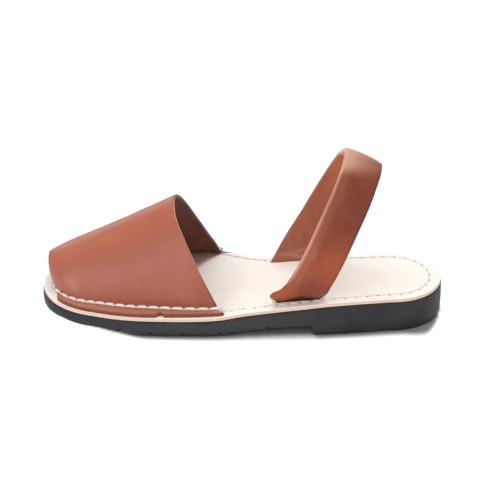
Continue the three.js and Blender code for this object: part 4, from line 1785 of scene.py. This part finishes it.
    def build(self) -> Object:
        """Makes the vamp in place of its node.

        Returns:
            The vamp.
        """
        u = np.linspace(0, 1, self.rows)
        grid, shares = self.grid(u)
        normals = grid_normals(grid)
        if normals[self.rows // 2, grid.shape[1] // 2, 2] < 0:
            grid, shares = grid[:, ::-1], shares[:, ::-1]
            normals = grid_normals(grid)
        grid = grid + self.creases(grid, shares)[..., None] * normals
        edges = {"first": Face.RAW_EDGE, "last": Face.RAW_EDGE, "sides": Face.WAXED_EDGE}
        skin = leather_wall(grid, self.thickness, self.rounding, edges, self.light_shade_and_tone(grid, shares, u))
        finishes = [look.material() for look in (self.grain, self.flesh, self.raw, self.waxed)]
        piece = skin.build("vamp_leather", finishes)
        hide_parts("vamp")
        return piece


@dataclass
class Studio:
    """A glowing white floor with a painted contact shadow, soft light, and the camera at the photograph's
    angle.
    """

    elevation: float = np.radians(27.0)
    distance: float = 1.1
    # where the camera looks, in metres
    target: Triple = (-0.0003, -CENTRE_Y * MM, 0.04585)
    lens: float = 127.7
    world: float = 1.0
    # the floor's own white, the glow that it gives outside the painted contact shadow, and half its size
    albedo: float = 0.22
    glow: float = 0.95
    wide: float = 6000.0
    # X, where the painted shadow ends beside the outline, and its softness
    shadow: Rows = (
        (-140, -18, 4), (-95, -10.5, 3), (-80, -5.5, 2.8), (-60, 0, 5), (-10, 0.5, 7), (10, -2, 11),
        (42, -5, 14), (50, 0.5, 7), (100, 0.5, 8), (117, 5, 8), (124, 1, 5), (129, -1, 2), (140, -1, 2),
    )

    def kept_glow(self, x: Array, y: Array) -> Array:
        """How much of the floor's glow is kept: 0 in the sole's painted contact shadow to 1 beyond it.

        The distance from the outline is negative under the sole. The table's rows
        say where the painted shadow ends on the viewer's side and how softly.

        Args:
            x: places along the floor.
            y: places across it.

        Returns:
            The share of glow kept at each place, from 0 to 1.
        """
        ring = LAST.outline(np.linspace(0, 2, 721)[:-1])
        away = np.hypot(x[..., None] - ring[:, 0], y[..., None] - ring[:, 1]).min(-1)
        inside = np.abs(x) < LAST.half
        inside &= (y > LAST.outline_y(x, -1)) & (y < LAST.outline_y(x, 1))
        away = np.where(inside, -away, away)
        start, width = through(self.shadow, x, 1), through(self.shadow, x, 2)
        far = smooth((y + 10) / 20)
        return smooth((away - start * (1 - far)) / (width * (1 - far) + 2 * far))

    def floor(self) -> Object:
        """A wide floor that glows white, with its glow turned down by the sole to paint a soft contact
        shadow; no part of the sandal.

        Returns:
            The floor.
        """
        x = np.concatenate([[-self.wide], np.linspace(-160, 160, 161), [self.wide]])
        y = np.concatenate([[-self.wide], np.linspace(-90, 90, 91), [self.wide]])
        x, y = np.meshgrid(x, y, indexing="ij")
        # the share of glow kept; where it is low the contact shadow is painted
        lit = np.ones_like(x)
        lit[1:-1, 1:-1] = self.kept_glow(x[1:-1, 1:-1], y[1:-1, 1:-1])
        points = np.stack([x, y - CENTRE_Y, np.zeros_like(x)], -1) * MM
        faces = cells_of(np.arange(x.size).reshape(x.shape)).reshape(-1, 4)
        mesh = bpy.data.meshes.new("floor")
        mesh.from_pydata(points.reshape(-1, 3).tolist(), [], faces.tolist())
        mesh.attributes.new("lit", "FLOAT", "POINT").data.foreach_set("value", lit.ravel())
        n = Nodes.new("white_floor")
        dressed = n.dress(
            Base_Color=(self.albedo, self.albedo, self.albedo),
            Roughness=0.9,
            Specular_IOR_Level=0.1,
            Emission_Color=(1.0, 1.0, 1.0),
            # the glow, turned down near the sole to paint the contact shadow
            Emission_Strength=n.sum("MULTIPLY", n.value("lit"), self.glow),
        )
        mesh.materials.append(dressed)
        floor = linked("floor", mesh)
        return floor

    def light(self, name: str, place: Triple, size: float, power: float) -> None:
        """A square soft light that looks at the sandal.

        Args:
            name: the lamp's name.
            place: where it hangs, in metres.
            size: the length of its side, in metres.
            power: its power in watts.
        """
        lamp = bpy.data.lights.new(name, "AREA")
        lamp.size, lamp.energy = size, power
        hung(name, lamp, Vector(place), Vector(place) - Vector((0, 0, 0.04)))

    def camera(self) -> None:
        """The camera: level across, looking down at the outer side of the foot."""
        lens = bpy.data.cameras.new("camera")
        lens.lens = self.lens
        lens.sensor_width = 36
        back = Vector((0, -np.cos(self.elevation), np.sin(self.elevation)))
        place = Vector(self.target) + back * self.distance
        bpy.context.scene.camera = hung("camera", lens, place, back)

    def build(self) -> None:
        """Sets up the floor, the sky, the lights and the camera."""
        self.floor()
        world = bpy.data.worlds.new("studio")
        world.use_nodes = True
        sky = world.node_tree.nodes["Background"]
        sky.inputs["Color"].default_value = (1, 1, 1, 1)
        sky.inputs["Strength"].default_value = self.world
        bpy.context.scene.world = world
        bpy.context.scene.view_settings.view_transform = "Standard"
        self.light("overhead", (-0.08, 0.4, 1.1), 1.0, 4.2)
        self.light("front", (-0.7, -1.15, 0.5), 0.9, 6.2)
        self.camera()


# each leather's light colour is also the colour of its painted sheen, highlights and lit faces
VAMP_LEATHER = GrainLeather(
    "cognac_leather",
    colour=(0.32, 0.085, 0.047),
    deep=(0.28, 0.068, 0.036),
    light=(0.42, 0.16, 0.1),
    warm=(0.355, 0.084, 0.034),
)
STRAP_LEATHER = GrainLeather(
    "strap_cognac",
    colour=(0.25, 0.045, 0.014),
    deep=(0.155, 0.027, 0.009),
    light=(0.54, 0.28, 0.185),
    warm=(0.37, 0.072, 0.017),
    roughness=0.36,
    shine=0.24,
)
STRAP_EDGE = CutEdge("strap_edge", STRAP_LEATHER.colour, STRAP_LEATHER.deep, 0.6)
FLESH = FleshLeather("vamp_flesh", (0.19, 0.064, 0.042), (0.125, 0.038, 0.025))
RAW_EDGE = CutEdge("raw_edge", (0.6, 0.38, 0.27), (0.42, 0.22, 0.13))
WAXED_EDGE = CutEdge("waxed_edge", (0.23, 0.06, 0.011), (0.08, 0.018, 0.005), 0.34)
BOARD = PaleInsole("insole_leather", (0.885, 0.83, 0.77), (0.845, 0.775, 0.71))
BOARD_EDGE = CutEdge("insole_edge", (0.68, 0.52, 0.43), (0.52, 0.38, 0.3))
RUBBER = MouldedRubber("outsole_rubber", (0.0105, 0.0105, 0.013), (0.006, 0.006, 0.007))
THREAD = WaxedThread("white_thread", (0.93, 0.9, 0.87), (0.6, 0.55, 0.5))


def main() -> None:
    """Builds the sandal's pieces in order around the frame."""
    logging.basicConfig(level=logging.INFO, format="%(name)s: %(message)s")
    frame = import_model()
    LOG.info("nodes: %s", ", ".join(frame["nodes"]))
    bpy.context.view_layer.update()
    Studio().build()
    seams = Seams(THREAD)
    strap = HeelStrap(STRAP_LEATHER, STRAP_EDGE)
    vamp = Vamp(VAMP_LEATHER, FLESH, RAW_EDGE, WAXED_EDGE)
    made = [
        Outsole(RUBBER).build(),
        Insole(BOARD, BOARD_EDGE).build(seams, strap),
        vamp.build(),
        strap.build(),
        *seams.build(vamp, strap),
    ]
    for piece in made:
        LOG.info("%s: %d faces", piece.name, len(piece.data.polygons))


if __name__ == "__main__":
    main()
